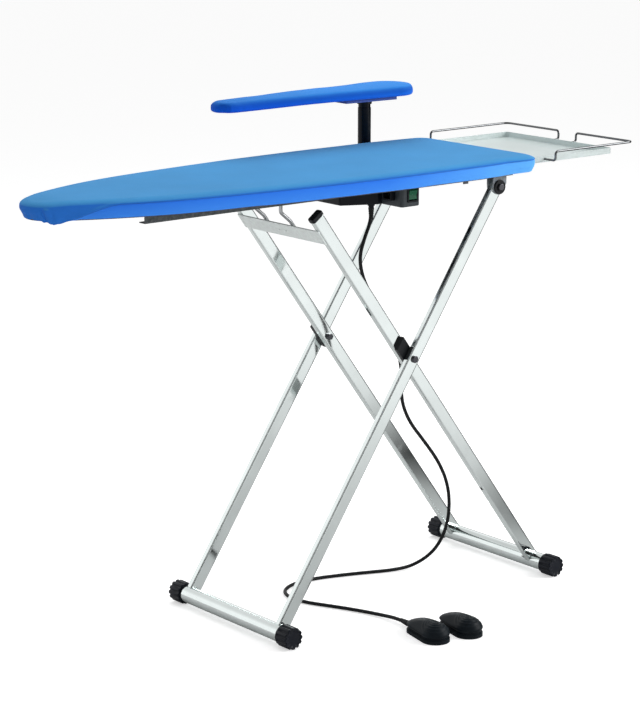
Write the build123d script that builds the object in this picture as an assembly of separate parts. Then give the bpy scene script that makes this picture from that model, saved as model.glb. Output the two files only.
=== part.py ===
from build123d import *
import math
import os

# Heated vacuum ironing table: a padded vacuum board on a folding pair of crossed frames,
# with a swivelling sleeve board, a slide-out iron tray and two foot pedals on a cable.
# All sizes are millimetres. While the pieces are made, x = 0 is the axis of the floor tube
# under the nose end, y = 0 is the middle of the board and z = 0 is the floor.
# -X is the nose, +X the square tail end, -Y the near side with the switch.

# Middle of the whole table's footprint, which becomes the origin when a piece is written
FOOTPRINT_X = 243.3
FOOTPRINT_Y = -55.4

# Working heights
BOARD_TOP_Z = 978.0
HEM_BOTTOM_Z = 944.5
PAN_BOTTOM_Z = 941.5

# Crossed frames
LEG_WIDE = 30.0
LEG_THICK = 15.0
LEG_WALL = 1.5
LEG_CORNER = 3.0
OUTER_LEG_FACE_Y = 165.0
LEG_GAP = 10.0
FOOT_TUBE_D = 38.0
FOOT_TUBE_WALL = 1.5
HEAD_FOOT_X = 0.0
TAIL_FOOT_X = 768.8
FOOT_CAP_ACROSS = 48.0
FOOT_CAP_SIDES = 12
FOOT_CAP_LENGTH = 36.5
FOOT_CAP_END_Y = 209.0
FOOT_CAP_END_WALL = 4.0
TAIL_PIVOT_X = 607.5
TAIL_PIVOT_Z = 915.6
UPPER_ARM = 424.8
INNER_LEG_ABOVE_PIVOT = 411.0
OUTER_LEG_PAST_PIVOT = 10.0
LEG_CAP_LENGTH = 10.0
LEG_CAP_OVERHANG = 1.5
LEG_PLUG_DEPTH = 14.0

# Pivots
MID_BOLT_D = 8.0
TAIL_BOLT_D = 10.0
RUNNING_FIT = 0.08
SEAT_GAP = 0.3
BOLT_HEAD_D = 16.0
BOLT_HEAD_HIGH = 5.0
TAIL_DISC_D = 32.0
TAIL_DISC_THICK = 4.0
MID_NUT_ACROSS = 13.0
MID_NUT_HIGH = 6.5
TAIL_NUT_ACROSS = 16.0
TAIL_NUT_HIGH = 6.0
SPACER_UP_THE_LEG = 44.0
SPACER_DOWN_THE_LEG = 18.0

# Cross plate and hook rods at the top of the inner frame
CROSS_PLATE_HIGH = 37.0
CROSS_PLATE_THICK = 2.5
CROSS_PLATE_FROM_PIVOT = 351.5
CROSS_PLATE_HOLE_D = 5.0
CROSS_PLATE_HOLE_YS = (-16.0, 6.0)
HOOK_ROD_D = 8.0
HOOK_ROD_Y = 45.0
HOOK_ROD_CONTACT_Z = 930.0
HOOK_ROD_REACH_Y = 80.0
HOOK_ROD_BEND = 10.0
HOOK_ROD_KNEE = 26.0
HOOK_ROD_SWEEP = 8.0

# Slide rails under the board
RAIL_OUTER_Y = 85.0
RAIL_WIDE = 20.0
RAIL_THICK = 2.0
RAIL_BOTTOM_Z = 920.3
RAIL_NOSE_X = -276.0
RAIL_TAIL_X = 215.0
RACK_REACH = 90.0
RACK_WIDE = 14.0
RACK_NOTCH_PITCH = 40.0
RACK_NOTCH_DEEP = 3.0

# Tail brackets
BRACKET_SHEET = 2.6
BRACKET_CHEEK_WIDE = 39.0
BRACKET_CHEEK_ROUND = 17.0
BRACKET_CHEEK_OFFSET = 2.0
BRACKET_CORNER = 6.0
BRACKET_STRIP_NOSE_X = 483.0
BRACKET_STRIP_TAIL_X = 642.0
BRACKET_STRIP_WIDE = 34.0
WING_SCREW_X = 518.0
WING_STUD_D = 4.0
WING_BOSS_HIGH = 5.0
WING_THICK = 2.0
WING_HIGH = 8.0
STRIP_WING_SPAN = 14.0
TRAY_WING_SPAN = 26.0

# Board outline: three tangent arcs from the nose to the widest place, then straight lines
NOSE_X = -500.0
TAIL_X = 692.0
NOSE_R = 62.0
NOSE_TURN = 61.0
FLANK_R = 890.0
FLANK_TURN = 20.0
SHOULDER_R = 3600.0
TAPER_X = 540.0
TAIL_HALF_WIDTH = 180.0
TAIL_CORNER = 38.0

# Layers of the board
COVER_CLOTH = 1.6
COVER_CROWN = 4.0
COVER_EDGE_ROUND = 9.0
PAN_INSET = 9.0
PAN_SHEET = 1.5
PAN_RIM_Z = 962.0
PLATE_THICK = 1.5
PLATE_HOLE_D = 7.0
PLATE_HOLE_PITCH = 46.0
PLATE_HOLE_MARGIN = 26.0
ELASTIC_WIDE = 3.0
ELASTIC_HIGH = 5.0

# Heating element and thermostat
ELEMENT_D = 6.6
ELEMENT_Z = 957.8
ELEMENT_BEND = 28.0
ELEMENT_NOSE_X = -385.0
ELEMENT_WAIST_X = -168.0
ELEMENT_TAIL_X = 540.0
ELEMENT_TURN_X = 600.0
ELEMENT_NEAR_Y = -95.0
ELEMENT_FAR_Y = 95.0
ELEMENT_TAIL_Y = 120.0
ELEMENT_RETURN_Y = -40.0
ELEMENT_STUB = 14.0
CLIP_WIDE = 10.0
THERMOSTAT_X = 241.0
TERMINAL_TAB_LONG = 36.0
TERMINAL_TAB_WIDE = 6.3
TERMINAL_TAB_THICK = 0.8
THERMOSTAT_D = 24.0
THERMOSTAT_HIGH = 9.0

# Suction fan
HOUSING_NOSE_X = 308.0
HOUSING_TAIL_X = 456.0
HOUSING_NEAR_Y = -22.0
HOUSING_FAR_Y = 117.0
HOUSING_BOTTOM_Z = 881.0
HOUSING_WALL = 2.5
HOUSING_CHAMFER_X = 385.0
HOUSING_CHAMFER_Y = 15.0
GASKET_HIGH = 2.0
FAN_X = 381.0
FAN_Y = 49.0
FAN_D = 116.0
FAN_HIGH = 20.0
FAN_BLADES = 12
FAN_BLADE_LONG = 26.0
FAN_BLADE_THICK = 1.5
MOTOR_D = 78.0
MOTOR_HIGH = 24.0
SHAFT_D = 8.0
SUCTION_PORT_D = 60.0
OUTLET_SLOTS = 8

# Control box on the near side of the housing
BOX_NOSE_X = 396.0
BOX_TAIL_X = 449.0
BOX_NEAR_Y = -88.0
BOX_FAR_Y = -22.4
BOX_WALL = 2.0
BOX_CORNER = 7.0
SWITCH_X = 426.5
SWITCH_Z = 908.0
BEZEL_WIDE = 29.0
BEZEL_HIGH = 35.0
BEZEL_THICK = 2.0
ROCKER_WIDE = 22.0
ROCKER_HIGH = 27.0
ROCKER_DEEP = 16.0
ROCKER_TURN = 8.0
ROCKER_HOLLOW = 2.4
ROCKER_PIN_D = 3.0
PANEL_LIP = 2.0
INLET_WIDE = 28.0
INLET_HIGH = 21.0
INLET_PROUD = 12.0
INLET_Y = -52.0
INLET_Z = 905.0
INLET_RIM = 3.5
INLET_BODY_DEEP = 14.0
INLET_WELL_DEEP = 8.0
INLET_PINS = [(-6.0, -1.5), (0.0, 2.5), (6.0, -1.5)]
TERMINAL_WIDE = 12.0
TERMINAL_HIGH = 10.0
TERMINAL_SCREWS = 4

# Sleeve board on its post
POST_X = 558.0
POST_Y = 230.0
POST_D = 30.0
POST_WALL = 2.0
NECK_D = 28.0
NECK_HIGH = 8.0
SPIGOT_D = 22.0
SPIGOT_HIGH = 13.0
COLLAR_D = 34.0
COLLAR_HIGH = 10.0
SOCKET_D = 38.0
SOCKET_BOTTOM_Z = 915.0
SOCKET_TOP_Z = 960.0
DUCT_NOSE_SIDE = 31.0
DUCT_TAIL_SIDE = 14.0
DUCT_HIGH = 11.0
DUCT_SHEET = 1.5
DUCT_INNER_Y = 118.0
DUCT_PORT_D = 16.0
DUCT_PORT_Y = 129.0
SLEEVE_NOSE_CENTRE_X = 167.0
SLEEVE_NOSE_R = 35.0
SLEEVE_TAIL_CENTRE_X = 625.0
SLEEVE_TAIL_R = 60.0
SLEEVE_ABOVE_BOARD = 127.0
SLEEVE_COVER_HIGH = 25.0
SLEEVE_PAD_THICK = 10.0
SLEEVE_PAN_DEEP = 12.0
SLEEVE_PAN_INSET = 7.0
SLEEVE_SUMP_DEEP = 10.0
SLEEVE_SUMP_INSET = 9.0
SLEEVE_SUMP_TO_NOSE = 88.0
SLEEVE_SUMP_TO_TAIL = 54.0
SLEEVE_CROWN = 3.0
SLEEVE_TOP_Z = BOARD_TOP_Z + SLEEVE_ABOVE_BOARD
SLEEVE_HEM_Z = SLEEVE_TOP_Z - SLEEVE_COVER_HIGH
SLEEVE_PAN_RIM_Z = SLEEVE_TOP_Z - SLEEVE_PAD_THICK
SLEEVE_PAN_FLOOR_Z = SLEEVE_PAN_RIM_Z - SLEEVE_PAN_DEEP
SLEEVE_SEAT_Z = SLEEVE_PAN_FLOOR_Z - SLEEVE_SUMP_DEEP
POST_TOP_Z = SLEEVE_SEAT_Z - COLLAR_HIGH - NECK_HIGH

# Iron tray, its arms, clamps and wire guard
TRAY_NOSE_X = 706.0
TRAY_TAIL_X = 951.0
TRAY_HALF_WIDTH = 172.0
TRAY_FLOOR_Z = 959.0
TRAY_RIM_Z = 971.0
TRAY_SHEET = 1.2
TRAY_CORNER = 6.0
TRAY_ARM_Y = 108.0
TRAY_ARM_WIDE = 16.0
TRAY_ARM_THICK = 6.0
TRAY_ARM_NOSE_X = 545.0
TRAY_ARM_CLEAR = 12.0
TRAY_ARM_JOG_X = TAIL_X + TRAY_ARM_CLEAR
TRAY_ARM_BOARD_Z = 931.0
CLAMP_LONG = 40.0
CLAMP_X = 655.0
CLAMP_SHEET = 2.5
CLAMP_CLEARANCE = 0.3
GUARD_WIRE_D = 5.0
GUARD_NOSE_X = 740.0
GUARD_TAIL_X = 984.0
GUARD_HALF_WIDTH = 206.0
GUARD_TOP_Z = 985.5
GUARD_LOW_Z = 965.0
GUARD_GAP_NEAR_Y = -25.0
GUARD_GAP_FAR_Y = 32.0
GUARD_BEND = 14.0

# Foot pedals
PEDAL_LEFT_X = 272.0
PEDAL_RIGHT_X = 351.0
PEDAL_LEFT_Y = -324.0
PEDAL_RIGHT_Y = -341.0
PEDAL_TURN = -6.0
PEDAL_LONG = 120.0
PEDAL_WIDE = 62.0
PEDAL_HEEL_R = 24.0
PEDAL_BASE_HIGH = 9.0
PEDAL_RIM = 1.5
PEDAL_FLOOR = 3.0
PEDAL_UPSTAND = 8.0
PEDAL_UPSTAND_WALL = 2.0
PEDAL_DOME = [(0.0, 0.0), (0.35, 0.0), (0.6, 3.0), (0.82, 8.0), (1.0, 18.0)]
PEDAL_CAP_HIGH = 40.0
PEDAL_CAP_WALL = 3.0
PEDAL_TRAVEL = 4.0
PEDAL_RINGS = 4
PEDAL_RING_PITCH = 5.0
PEDAL_RING_PROUD = 0.8
SWITCH_BODY_LONG = 20.0
SWITCH_BODY_WIDE = 10.0
SWITCH_BODY_HIGH = 12.0
SWITCH_BODY_Y = -9.0
PLUNGER_D = 3.0
PLUNGER_HIGH = 3.0
PRESSER_D = 8.0
SPRING_D = 10.0
SPRING_WIRE = 1.2
SPRING_Y = 16.0

# Pedal cable: its free route, from the gland under the fan housing to the left pedal
CABLE_D = 8.0
GLAND_D = 16.0
GLAND_HIGH = 10.0
GROMMET_PROUD = 12.25
GROMMET_D = 10.0
GROMMET_Z = 8.5
PEDAL_LINK_D = 7.0
PEDAL_LINK_Y = -327.0
PEDAL_LINK_Z = 5.0
CABLE_ROUTE = [
    (386.0, 2.0, 871.0),
    (386.0, 2.0, 843.0),
    (367.0, 1.0, 808.0),
    (350.0, 0.0, 764.0),
    (364.0, 0.0, 710.0),
    (397.0, 0.0, 662.0),
    (436.0, 0.0, 602.0),
    (466.0, 0.0, 541.0),
    (478.0, 0.0, 480.0),
    (475.0, 0.0, 424.0),
    (500.0, 0.0, 370.0),
    (545.0, 0.0, 318.0),
    (590.0, 0.0, 262.0),
    (620.0, 1.0, 205.0),
    (630.0, 3.0, 145.0),
    (623.0, 8.0, 88.0),
    (600.0, 22.0, 38.0),
    (556.0, 44.0, 7.0),
    (500.0, 56.0, 4.3),
    (440.0, 82.0, 4.3),
    (384.0, 103.0, 4.3),
    (324.0, 122.0, 4.3),
    (262.0, 124.0, 4.3),
    (213.0, 98.0, 4.3),
    (195.0, 52.0, 4.3),
    (204.0, 2.0, 4.3),
    (232.0, -52.0, 4.3),
    (258.0, -108.0, 4.3),
    (276.0, -162.0, 5.0),
    (283.5, -214.6, 8.5),
    (279.56, -252.1, 8.5),
]

# Sizes that follow from the ones above
FOOT_AXIS_Z = FOOT_CAP_ACROSS / 2
OUTER_LEG_Y = OUTER_LEG_FACE_Y - LEG_THICK / 2
INNER_LEG_FACE_Y = OUTER_LEG_FACE_Y - LEG_THICK - LEG_GAP
INNER_LEG_Y = INNER_LEG_FACE_Y - LEG_THICK / 2
INNER_LEG_BACK_Y = INNER_LEG_FACE_Y - LEG_THICK
TAIL_PIVOT = Vector(TAIL_PIVOT_X, 0, TAIL_PIVOT_Z)
HEAD_FOOT = Vector(HEAD_FOOT_X, 0, FOOT_AXIS_Z)
TAIL_FOOT = Vector(TAIL_FOOT_X, 0, FOOT_AXIS_Z)
OUTER_DIRECTION = (TAIL_PIVOT - HEAD_FOOT).normalized()
MID_PIVOT = TAIL_PIVOT - OUTER_DIRECTION * UPPER_ARM
INNER_DIRECTION = (MID_PIVOT - TAIL_FOOT).normalized()
INNER_NORMAL = Vector(INNER_DIRECTION.Z, 0, -INNER_DIRECTION.X)
PLATE_TOP_Z = PAN_RIM_Z + PLATE_THICK
FELT_TOP_Z = BOARD_TOP_Z - COVER_CROWN - COVER_CLOTH
TOUCH = 0.05
ROCKER_PIVOT_Y = BOX_NEAR_Y + 6.0

# The element's cold ends drop through the pan into the control box
ELEMENT_ENDS = [(BOX_NOSE_X + 14.0, -50.0), (BOX_NOSE_X + 14.0, -70.0)]

# Boxes of the nodes written so far
BOUNDS = {}


def block(x0, x1, y0, y1, z0, z1):
    """A box between two corners."""
    centre = ((x0 + x1) / 2, (y0 + y1) / 2, (z0 + z1) / 2)
    return Pos(*centre) * Box(abs(x1 - x0), abs(y1 - y0), abs(z1 - z0))


def rod_y(x, z, radius, y0, y1):
    """A round bar along Y."""
    return Pos(x, (y0 + y1) / 2, z) * Rot(90, 0, 0) * Cylinder(radius, abs(y1 - y0))


def rod_z(x, y, radius, z0, z1):
    """A round bar along Z."""
    return Pos(x, y, (z0 + z1) / 2) * Cylinder(radius, abs(z1 - z0))


def nut_y(x, z, across, bore, y0, y1):
    """A hexagon nut on an axis along Y."""
    plane = Plane(origin=(x, y0, z), x_dir=(1, 0, 0), z_dir=(0, 1, 0))
    hexagon = RegularPolygon(across / 2, 6, major_radius=False)
    return extrude(plane * hexagon, y1 - y0) - rod_y(x, z, bore / 2, y0, y1)


def far(shape):
    """The far-side twin of a near-side piece."""
    return mirror(shape, about=Plane.XZ)


def pair(shape):
    """A near-side piece and its far-side twin, as separate solids of one node."""
    return [*shape.solids(), *far(shape).solids()]


def wire_tube(points, radii, diameter):
    """A round wire or tube along straight runs joined by arcs."""
    path = FilletPolyline(*points, radius=radii)
    start = Plane(origin=path @ 0, z_dir=path % 0)
    return sweep(start * Circle(diameter / 2), path=path)


def pieces(node, *shapes):
    """Move a node's solids to the table's own origin and write them."""
    solids = []
    for shape in shapes:
        solids += [shape] if isinstance(shape, Solid) else list(shape.solids())
    placed = [Pos(-FOOTPRINT_X, -FOOTPRINT_Y, 0) * solid for solid in solids]
    export_step(Compound(children=placed), f"parts/{node}.step")
    BOUNDS[node] = Compound(children=placed).bounding_box()


# Crossed frames

def leg_tube(foot, direction, length, y_middle):
    """A flat-sided tube along a leg's axis, saddled onto its floor tube."""
    plane = Plane(origin=(foot.X, y_middle, foot.Z), x_dir=(0, 1, 0), z_dir=direction)
    outside = extrude(plane * RectangleRounded(LEG_THICK, LEG_WIDE, LEG_CORNER), length)
    hollow = RectangleRounded(LEG_THICK - 2 * LEG_WALL, LEG_WIDE - 2 * LEG_WALL, LEG_CORNER - LEG_WALL)
    tube = outside - extrude(plane * hollow, length)
    reach = LEG_THICK
    saddle = rod_y(foot.X, foot.Z, FOOT_TUBE_D / 2 + TOUCH, y_middle - reach, y_middle + reach)
    kept = (tube - saddle).solids().sort_by(Axis.Z)
    return kept[-1]


def outer_leg():
    length = (TAIL_PIVOT - HEAD_FOOT).length + OUTER_LEG_PAST_PIVOT
    leg = leg_tube(HEAD_FOOT, OUTER_DIRECTION, length, -OUTER_LEG_Y)
    low, high = -OUTER_LEG_Y - LEG_THICK, -OUTER_LEG_Y + LEG_THICK
    leg -= rod_y(TAIL_PIVOT.X, TAIL_PIVOT.Z, TAIL_BOLT_D / 2 + RUNNING_FIT, low, high)
    return leg - rod_y(MID_PIVOT.X, MID_PIVOT.Z, MID_BOLT_D / 2 + TOUCH, low, high)


def inner_leg():
    length = (MID_PIVOT - TAIL_FOOT).length + INNER_LEG_ABOVE_PIVOT
    leg = leg_tube(TAIL_FOOT, INNER_DIRECTION, length, -INNER_LEG_Y)
    low, high = -INNER_LEG_Y - LEG_THICK, -INNER_LEG_Y + LEG_THICK
    return leg - rod_y(MID_PIVOT.X, MID_PIVOT.Z, MID_BOLT_D / 2 + RUNNING_FIT, low, high)


def foot_tube(foot):
    half = FOOT_CAP_END_Y - FOOT_CAP_END_WALL - TOUCH
    tube = rod_y(foot.X, foot.Z, FOOT_TUBE_D / 2, -half, half)
    return tube - rod_y(foot.X, foot.Z, FOOT_TUBE_D / 2 - FOOT_TUBE_WALL, -half, half)


def foot_cap(foot):
    """A twelve-sided rubber cap with a flat side down and a dished end."""
    end, inner = -FOOT_CAP_END_Y, -FOOT_CAP_END_Y + FOOT_CAP_LENGTH
    plane = Plane(origin=(foot.X, end, foot.Z), x_dir=(1, 0, 0), z_dir=(0, 1, 0))
    half_side = 180 / FOOT_CAP_SIDES
    polygon = RegularPolygon(FOOT_CAP_ACROSS / 2, FOOT_CAP_SIDES, major_radius=False, rotation=half_side)
    cap = extrude(plane * polygon, FOOT_CAP_LENGTH)
    cap = chamfer(cap.faces().sort_by(Axis.Y)[0].edges(), 1.5)
    bore = FOOT_TUBE_D / 2 + TOUCH
    cap -= rod_y(foot.X, foot.Z, bore, end + FOOT_CAP_END_WALL, inner)
    dish_deep = 1.0
    return cap - rod_y(foot.X, foot.Z, bore, end, end + dish_deep)


def mid_bolt():
    head_face = -OUTER_LEG_FACE_Y - TOUCH
    inner_end = -INNER_LEG_BACK_Y + MID_NUT_HIGH + SEAT_GAP
    shank = rod_y(MID_PIVOT.X, MID_PIVOT.Z, MID_BOLT_D / 2, head_face, inner_end)
    head = rod_y(MID_PIVOT.X, MID_PIVOT.Z, BOLT_HEAD_D / 2, head_face - BOLT_HEAD_HIGH, head_face)
    return shank + fillet(head.edges().group_by(Axis.Y)[0], 2.0)


def mid_nut():
    start = -INNER_LEG_BACK_Y + SEAT_GAP
    bore = MID_BOLT_D + 2 * TOUCH
    return nut_y(MID_PIVOT.X, MID_PIVOT.Z, MID_NUT_ACROSS, bore, start, start + MID_NUT_HIGH)


def mid_spacer():
    """A plastic block on the inner leg that keeps the two legs apart."""
    across = LEG_WIDE / 2
    skew = across / math.tan(math.radians(INNER_DIRECTION.get_angle(OUTER_DIRECTION)))
    corners = [
        MID_PIVOT + INNER_DIRECTION * (SPACER_UP_THE_LEG + skew) + INNER_NORMAL * across,
        MID_PIVOT + INNER_DIRECTION * (SPACER_UP_THE_LEG - skew) - INNER_NORMAL * across,
        MID_PIVOT - INNER_DIRECTION * (SPACER_DOWN_THE_LEG + skew) - INNER_NORMAL * across,
        MID_PIVOT - INNER_DIRECTION * (SPACER_DOWN_THE_LEG - skew) + INNER_NORMAL * across,
    ]
    y0 = -INNER_LEG_FACE_Y - LEG_GAP + SEAT_GAP
    outline = Polyline(*[(p.X, y0, p.Z) for p in corners], close=True)
    length = LEG_GAP - SEAT_GAP - TOUCH
    solid = extrude(make_face(outline), length, dir=(0, 1, 0))
    return solid - rod_y(MID_PIVOT.X, MID_PIVOT.Z, MID_BOLT_D / 2 + RUNNING_FIT, y0, y0 + length)


def leg_cap():
    """A black cap pushed into the top of an inner leg."""
    top = MID_PIVOT + INNER_DIRECTION * INNER_LEG_ABOVE_PIVOT
    plane = Plane(origin=(top.X, -INNER_LEG_Y, top.Z), x_dir=(0, 1, 0), z_dir=INNER_DIRECTION)
    wide, thick = LEG_WIDE + 2 * LEG_CAP_OVERHANG, LEG_THICK + 2 * LEG_CAP_OVERHANG
    section = RectangleRounded(thick, wide, LEG_CORNER + LEG_CAP_OVERHANG)
    head = extrude(plane.offset(TOUCH) * section, LEG_CAP_LENGTH)
    outer_end = head.faces().sort_by(Axis(origin=top, direction=INNER_DIRECTION))[-1]
    head = fillet(outer_end.edges(), 3.0)
    slack = LEG_WALL + TOUCH
    plug = RectangleRounded(LEG_THICK - 2 * slack, LEG_WIDE - 2 * slack, LEG_CORNER - LEG_WALL)
    return head + extrude(plane.offset(TOUCH) * plug, -LEG_PLUG_DEPTH)


def inner_plane(along, across):
    """A plane across the inner frame, some way up the leg and off to its upper side."""
    origin = MID_PIVOT + INNER_DIRECTION * along + INNER_NORMAL * across
    return Plane(origin=origin, x_dir=(0, 1, 0), z_dir=INNER_DIRECTION)


def cross_plate():
    """The plate welded over the lower faces of the inner legs."""
    across = -LEG_WIDE / 2 - CROSS_PLATE_THICK / 2 - TOUCH
    plane = inner_plane(CROSS_PLATE_FROM_PIVOT, across)
    wide = 2 * (INNER_LEG_FACE_Y - 2)
    plate = extrude(plane * Rectangle(wide, CROSS_PLATE_THICK), CROSS_PLATE_HIGH)
    centre = inner_plane(CROSS_PLATE_FROM_PIVOT + CROSS_PLATE_HIGH / 2, across).origin
    for y in CROSS_PLATE_HOLE_YS:
        hole = Plane(origin=(centre.X, y, centre.Z), z_dir=INNER_NORMAL)
        plate -= extrude(hole * Circle(CROSS_PLATE_HOLE_D / 2), CROSS_PLATE_THICK, both=True)
    return plate


def hook_rod():
    """A bent rod behind the cross plate whose upper end slides in the rail."""
    across = -LEG_WIDE / 2 + HOOK_ROD_D / 2 + TOUCH
    low = inner_plane(CROSS_PLATE_FROM_PIVOT, across).origin
    contact = on_inner_axis(HOOK_ROD_CONTACT_Z)
    reach = (contact - MID_PIVOT).length
    clear = inner_plane(CROSS_PLATE_FROM_PIVOT + CROSS_PLATE_HIGH + HOOK_ROD_D, across).origin
    bend = inner_plane(reach - HOOK_ROD_KNEE, across - HOOK_ROD_SWEEP).origin
    points = [
        (low.X, -HOOK_ROD_Y, low.Z),
        (clear.X, -HOOK_ROD_Y, clear.Z),
        (bend.X, -HOOK_ROD_Y, bend.Z),
        (contact.X, -HOOK_ROD_Y, contact.Z),
        (contact.X, -HOOK_ROD_REACH_Y, contact.Z),
    ]
    return wire_tube(points, HOOK_ROD_BEND, HOOK_ROD_D)


def on_inner_axis(z):
    """The point of the inner legs' axis at a height."""
    return MID_PIVOT + INNER_DIRECTION * ((z - MID_PIVOT.Z) / INNER_DIRECTION.Z)


# Board

def board_outline(inset, z):
    """The board's plan, drawn in by an inset, as a face at a height."""
    tail = TAIL_X - inset
    heading = 90.0
    nose = JernArc((NOSE_X + inset, 0), (0, 1), NOSE_R - inset, -NOSE_TURN)
    flank = JernArc(nose @ 1, nose % 1, FLANK_R - inset, -FLANK_TURN)
    last_turn = heading - NOSE_TURN - FLANK_TURN
    shoulder = JernArc(flank @ 1, flank % 1, SHOULDER_R - inset, -last_turn)
    widest = (shoulder @ 1).Y
    side = Line(shoulder @ 1, (TAPER_X, widest))
    taper = Line((TAPER_X, widest), (tail, TAIL_HALF_WIDTH - inset))
    end = Line((tail, TAIL_HALF_WIDTH - inset), (tail, 0))
    upper = Wire([nose, flank, shoulder, side, taper, end])
    face = make_face([upper, mirror(upper, about=Plane.XZ)])
    corners = face.vertices().filter_by(lambda v: abs(v.X - tail) < 0.01 and abs(v.Y) > 1)
    face = fillet(corners, TAIL_CORNER - inset * 0.5)
    return Pos(0, 0, z) * face.face()


def layer(inset, z0, z1):
    """A slab of the board's plan between two heights."""
    return extrude(board_outline(inset, z0), z1 - z0, dir=(0, 0, 1))


def crowned_pad(outline, low, top, edge_round, crown, hem_draw):
    """A padded body: drawn-in hem, straight side, rounded edge and a low crown."""
    sections = [outline(hem_draw, low), outline(0, low + 2 * hem_draw)]
    shoulder = top - crown
    for step in range(4):
        angle = math.radians(30 * step)
        inset = edge_round * (1 - math.cos(angle))
        sections.append(outline(inset, shoulder - edge_round * (1 - math.sin(angle))))
    sections.append(outline(edge_round * 5, top))
    return loft(sections, ruled=True)


def board_cover():
    """The quilted cover: crowned top, rounded edge and a hem round the pan."""
    skin = crowned_pad(board_outline, HEM_BOTTOM_Z, BOARD_TOP_Z, COVER_EDGE_ROUND, COVER_CROWN, 3.0)
    felt_space = layer(PAN_INSET - SEAT_GAP, HEM_BOTTOM_Z, FELT_TOP_Z + SEAT_GAP)
    channel_low = HEM_BOTTOM_Z + 3.0 - TOUCH
    channel_high = channel_low + ELASTIC_HIGH + 2 * TOUCH
    channel = layer(PAN_INSET - SEAT_GAP - ELASTIC_WIDE - TOUCH, channel_low, channel_high)
    return skin - felt_space - channel


def hem_elastic():
    low = HEM_BOTTOM_Z + 3.0
    ring = layer(PAN_INSET - SEAT_GAP - ELASTIC_WIDE, low, low + ELASTIC_HIGH)
    return ring - layer(PAN_INSET - SEAT_GAP, low, low + ELASTIC_HIGH)


def board_pan():
    """The sheet steel vacuum chamber with its suction, sleeve and wiring ports."""
    pan = layer(PAN_INSET, PAN_BOTTOM_Z, PAN_RIM_Z)
    pan -= layer(PAN_INSET + PAN_SHEET, PAN_BOTTOM_Z + PAN_SHEET, PAN_RIM_Z)
    z0, z1 = PAN_BOTTOM_Z, PAN_BOTTOM_Z + PAN_SHEET
    pan -= rod_z(FAN_X, FAN_Y, SUCTION_PORT_D / 2, z0, z1)
    pan -= rod_z(duct_port_x(), DUCT_PORT_Y, DUCT_PORT_D / 2, z0, z1)
    for end in ELEMENT_ENDS:
        pan -= rod_z(end[0], end[1], ELEMENT_D / 2 + TOUCH, z0, z1)
    return pan


def perforated_plate():
    """The heated top plate with its field of suction holes."""
    plate = board_outline(PAN_INSET, PAN_RIM_Z)
    allowed = board_outline(PLATE_HOLE_MARGIN, PAN_RIM_Z)
    box = allowed.bounding_box()
    columns = int(box.size.X // PLATE_HOLE_PITCH)
    rows = int(box.size.Y // PLATE_HOLE_PITCH)
    holes = []
    for column in range(columns + 1):
        for row in range(rows + 1):
            x = box.min.X + (box.size.X - columns * PLATE_HOLE_PITCH) / 2 + column * PLATE_HOLE_PITCH
            y = (row - rows / 2) * PLATE_HOLE_PITCH
            if allowed.is_inside((x, y, PAN_RIM_Z)):
                holes.append(Pos(x, y, PAN_RIM_Z) * Circle(PLATE_HOLE_D / 2))
    return extrude(plate - holes, PLATE_THICK, dir=(0, 0, 1))


def felt_pad():
    return layer(PAN_INSET + 0.5, PLATE_TOP_Z + TOUCH, FELT_TOP_Z)


def element_route():
    (end_x, inner_y), (_, outer_y) = ELEMENT_ENDS
    low = PAN_BOTTOM_Z - ELEMENT_STUB
    return [
        (end_x, outer_y, low),
        (end_x, outer_y, ELEMENT_Z),
        (ELEMENT_WAIST_X, ELEMENT_NEAR_Y, ELEMENT_Z),
        (ELEMENT_NOSE_X, 0.0, ELEMENT_Z),
        (ELEMENT_WAIST_X, ELEMENT_FAR_Y, ELEMENT_Z),
        (ELEMENT_TAIL_X, ELEMENT_TAIL_Y, ELEMENT_Z),
        (ELEMENT_TURN_X, ELEMENT_RETURN_Y, ELEMENT_Z),
        (end_x, inner_y, ELEMENT_Z),
        (end_x, inner_y, low),
    ]


def heating_element():
    """A tubular element looped under the top plate."""
    end_bend = PAN_RIM_Z - PAN_BOTTOM_Z - ELEMENT_D
    bends = [end_bend / 2] + [ELEMENT_BEND] * 5 + [end_bend / 2]
    return wire_tube(element_route(), bends, ELEMENT_D)


def element_clips():
    """Saddles that hold the element up against the plate."""
    route = element_route()
    across = ELEMENT_D + 5.0
    below = ELEMENT_D / 2 + 1.5
    height = below + PAN_RIM_Z - ELEMENT_Z - TOUCH
    clips = []
    for start, end in zip(route[1:-2], route[2:-1]):
        middle = (Vector(*start) + Vector(*end)) / 2
        along = Vector(*end) - Vector(*start)
        plane = Plane(origin=(middle.X, middle.Y, ELEMENT_Z), x_dir=along, z_dir=(0, 0, 1))
        saddle = extrude(plane.offset(-below) * Rectangle(CLIP_WIDE, across), height)
        bore = Plane(origin=middle, z_dir=along) * Circle(ELEMENT_D / 2 + TOUCH)
        clips.append(saddle - extrude(bore, CLIP_WIDE, both=True))
    return clips


def thermostat():
    """A round snap thermostat under the plate, with its two terminal tabs."""
    top = PAN_RIM_Z - TOUCH
    low = top - THERMOSTAT_HIGH
    body = rod_z(THERMOSTAT_X, 0, THERMOSTAT_D / 2, low, top)
    half_long, half_wide = TERMINAL_TAB_LONG / 2, TERMINAL_TAB_WIDE / 2
    tabs = block(
        THERMOSTAT_X - half_long, THERMOSTAT_X + half_long,
        -half_wide, half_wide, low, low + TERMINAL_TAB_THICK,
    )
    return body + tabs


# Rails, racks and brackets under the board

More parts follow.
